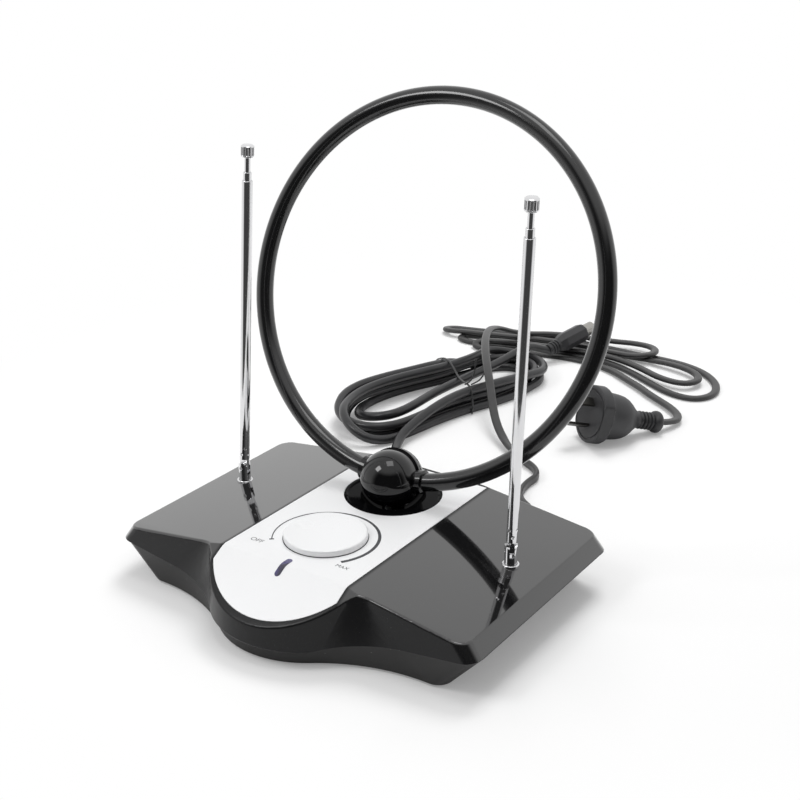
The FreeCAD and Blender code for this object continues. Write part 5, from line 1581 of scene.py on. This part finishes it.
@dataclass(frozen=True)
class Lamp:
    """Square soft lamp: where it stands, the point it faces, its sides in metres and its power in watts."""

    name: str
    place: Triple
    aim: Triple
    size: float
    power: float
    mirrored: bool = True

    def build(self) -> None:
        """Sets the lamp up; gloss doesn't show one that isn't mirrored."""
        light = bpy.data.lights.new(self.name, "AREA")
        light.shape = "SQUARE"
        light.size = self.size
        light.energy = self.power
        lamp = bpy.data.objects.new(self.name, light)
        lamp.visible_glossy = self.mirrored
        lamp.location = self.place
        lamp.rotation_euler = (Vector(self.aim) - Vector(self.place)).to_track_quat("-Z", "Y").to_euler()
        bpy.context.scene.collection.objects.link(lamp)


@dataclass
class Studio:
    """Pale floor, soft white room, lamps and the camera."""

    camera_place: Triple = (0.36895, -0.50972, 0.35913)
    azimuth: float = 34.2
    look_down: float = 22.4
    lens: float = 61.7
    sensor: float = 36.0
    clip: float = 0.01
    floor_middle: Triple = (-0.03, 0.2, 0.0)
    floor_radius: float = 0.4
    floor_tones: tuple[float, float] = (0.94, 0.95)
    floor_fade: tuple[float, float] = (0.7, 0.97)
    floor_glow: float = 0.2
    mirror_dark: float = 0.94
    soft_light: float = 0.5
    soft_dark: float = 0.15
    lamps: tuple[Lamp, ...] = (
        Lamp("key_lamp", (-0.15, 0.75, 1.35), (0.0, 0.1, 0.05), 0.6, 10.5, mirrored=False),
        Lamp("top_lamp", (0.1, 0.0, 1.3), (0.0, 0.1, 0.05), 0.5, 2.2),
        Lamp("edge_lamp", (-0.32, -0.42, 0.64), (0.05, -0.06, 0.03), 0.25, 1.4),
    )

    def build(self) -> None:
        """Sets up the room, the lamps and the camera."""
        scene = bpy.context.scene
        scene.view_settings.view_transform = "Standard"
        self.floor()
        self.room()
        for lamp in self.lamps:
            lamp.build()
        camera = bpy.data.cameras.new("camera")
        camera.lens = self.lens
        camera.sensor_width = self.sensor
        camera.clip_start = self.clip
        eye = bpy.data.objects.new("camera", camera)
        eye.location = self.camera_place
        eye.rotation_euler = (math.radians(90 - self.look_down), 0.0, math.radians(self.azimuth))
        scene.collection.objects.link(eye)
        scene.camera = eye

    def floor(self) -> None:
        """Lays the pale floor."""
        mesh = bpy.data.meshes.new("floor")
        form = bmesh.new()
        middle = Matrix.Translation(Vector(self.floor_middle))
        bmesh.ops.create_circle(form, cap_ends=True, segments=96, radius=self.floor_radius, matrix=middle)
        form.to_mesh(mesh)
        form.free()
        floor = bpy.data.objects.new("floor", mesh)
        bpy.context.scene.collection.objects.link(floor)
        made = bpy.data.materials.new("pale_floor")
        made.use_nodes = True
        graph = ShaderGraph(made.node_tree)
        clouds = graph.noise(600.0, detail=2.0)
        dull, pale = ((tone, tone, tone) for tone in self.floor_tones)
        tone = graph.blend(clouds, dull, pale)
        paper = graph.node("ShaderNodeBsdfDiffuse", None, {"Color": tone})
        white = graph.node("ShaderNodeEmission", None, {"Color": (1.0, 1.0, 1.0), "Strength": 1.0})
        seen = graph.node("ShaderNodeLightPath", out="Is Camera Ray")
        spread = {0: graph.place(), 1: self.floor_middle}
        away = graph.node("ShaderNodeVectorMath", {"operation": "DISTANCE"}, spread, "Value")
        near, far = (share * self.floor_radius for share in self.floor_fade)
        glow = self.floor_glow + (1.0 - self.floor_glow) * away.ramp(near, far)
        mixed = graph.node("ShaderNodeMixShader", None, {0: seen * glow, 1: paper, 2: white})
        graph.node("ShaderNodeOutputMaterial", None, {"Surface": mixed})
        floor.data.materials.append(made)

    def room(self) -> None:
        """Surrounds the object with a soft white room, darker behind the camera."""
        world = bpy.data.worlds.new("white_room")
        bpy.context.scene.world = world
        world.use_nodes = True
        graph = ShaderGraph(world.node_tree)
        heading = graph.node("ShaderNodeTexCoord", out="Generated")
        toward = (math.sin(math.radians(self.azimuth)), -math.cos(math.radians(self.azimuth)), 0.0)
        pair = {0: heading, 1: toward}
        facing = graph.node("ShaderNodeVectorMath", {"operation": "DOT_PRODUCT"}, pair, "Value")
        height = graph.node("ShaderNodeSeparateXYZ", None, {0: heading}, "Z")
        dark = facing.ramp(0.15, 0.6) * (1.0 - height.ramp(0.5, 0.8))
        glossy = graph.node("ShaderNodeLightPath", out="Is Glossy Ray")
        camera = graph.node("ShaderNodeLightPath", out="Is Camera Ray")
        clear = graph.node("ShaderNodeLightPath", out="Is Transmission Ray")
        seen = graph.node("ShaderNodeMath", {"operation": "MAXIMUM"}, {0: camera, 1: clear})
        mirror = 1.0 - dark * self.mirror_dark
        soft = self.soft_light - dark * self.soft_dark
        strength = seen + (1.0 - seen) * (glossy * mirror + (1.0 - glossy) * soft)
        light = graph.node("ShaderNodeBackground", None, {"Color": (1.0, 1.0, 1.0), "Strength": strength})
        graph.node("ShaderNodeOutputWorld", None, {"Surface": light})


def main() -> None:
    """Builds the antenna's looks on the loaded frame."""
    logging.basicConfig(level=logging.INFO, format="%(name)s: %(message)s")
    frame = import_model()
    CoaxLead().build(frame)
    MainsLead().build(frame)
    Base().build(frame)
    GainKnob().build(frame)
    LoopStand().build(frame)
    Rod(Side.LEFT, turn=0.0, lean=3.84).build(frame)
    Rod(Side.RIGHT, turn=-48.4, lean=5.44).build(frame)
    Studio().build()


if __name__ == "__main__":
    main()
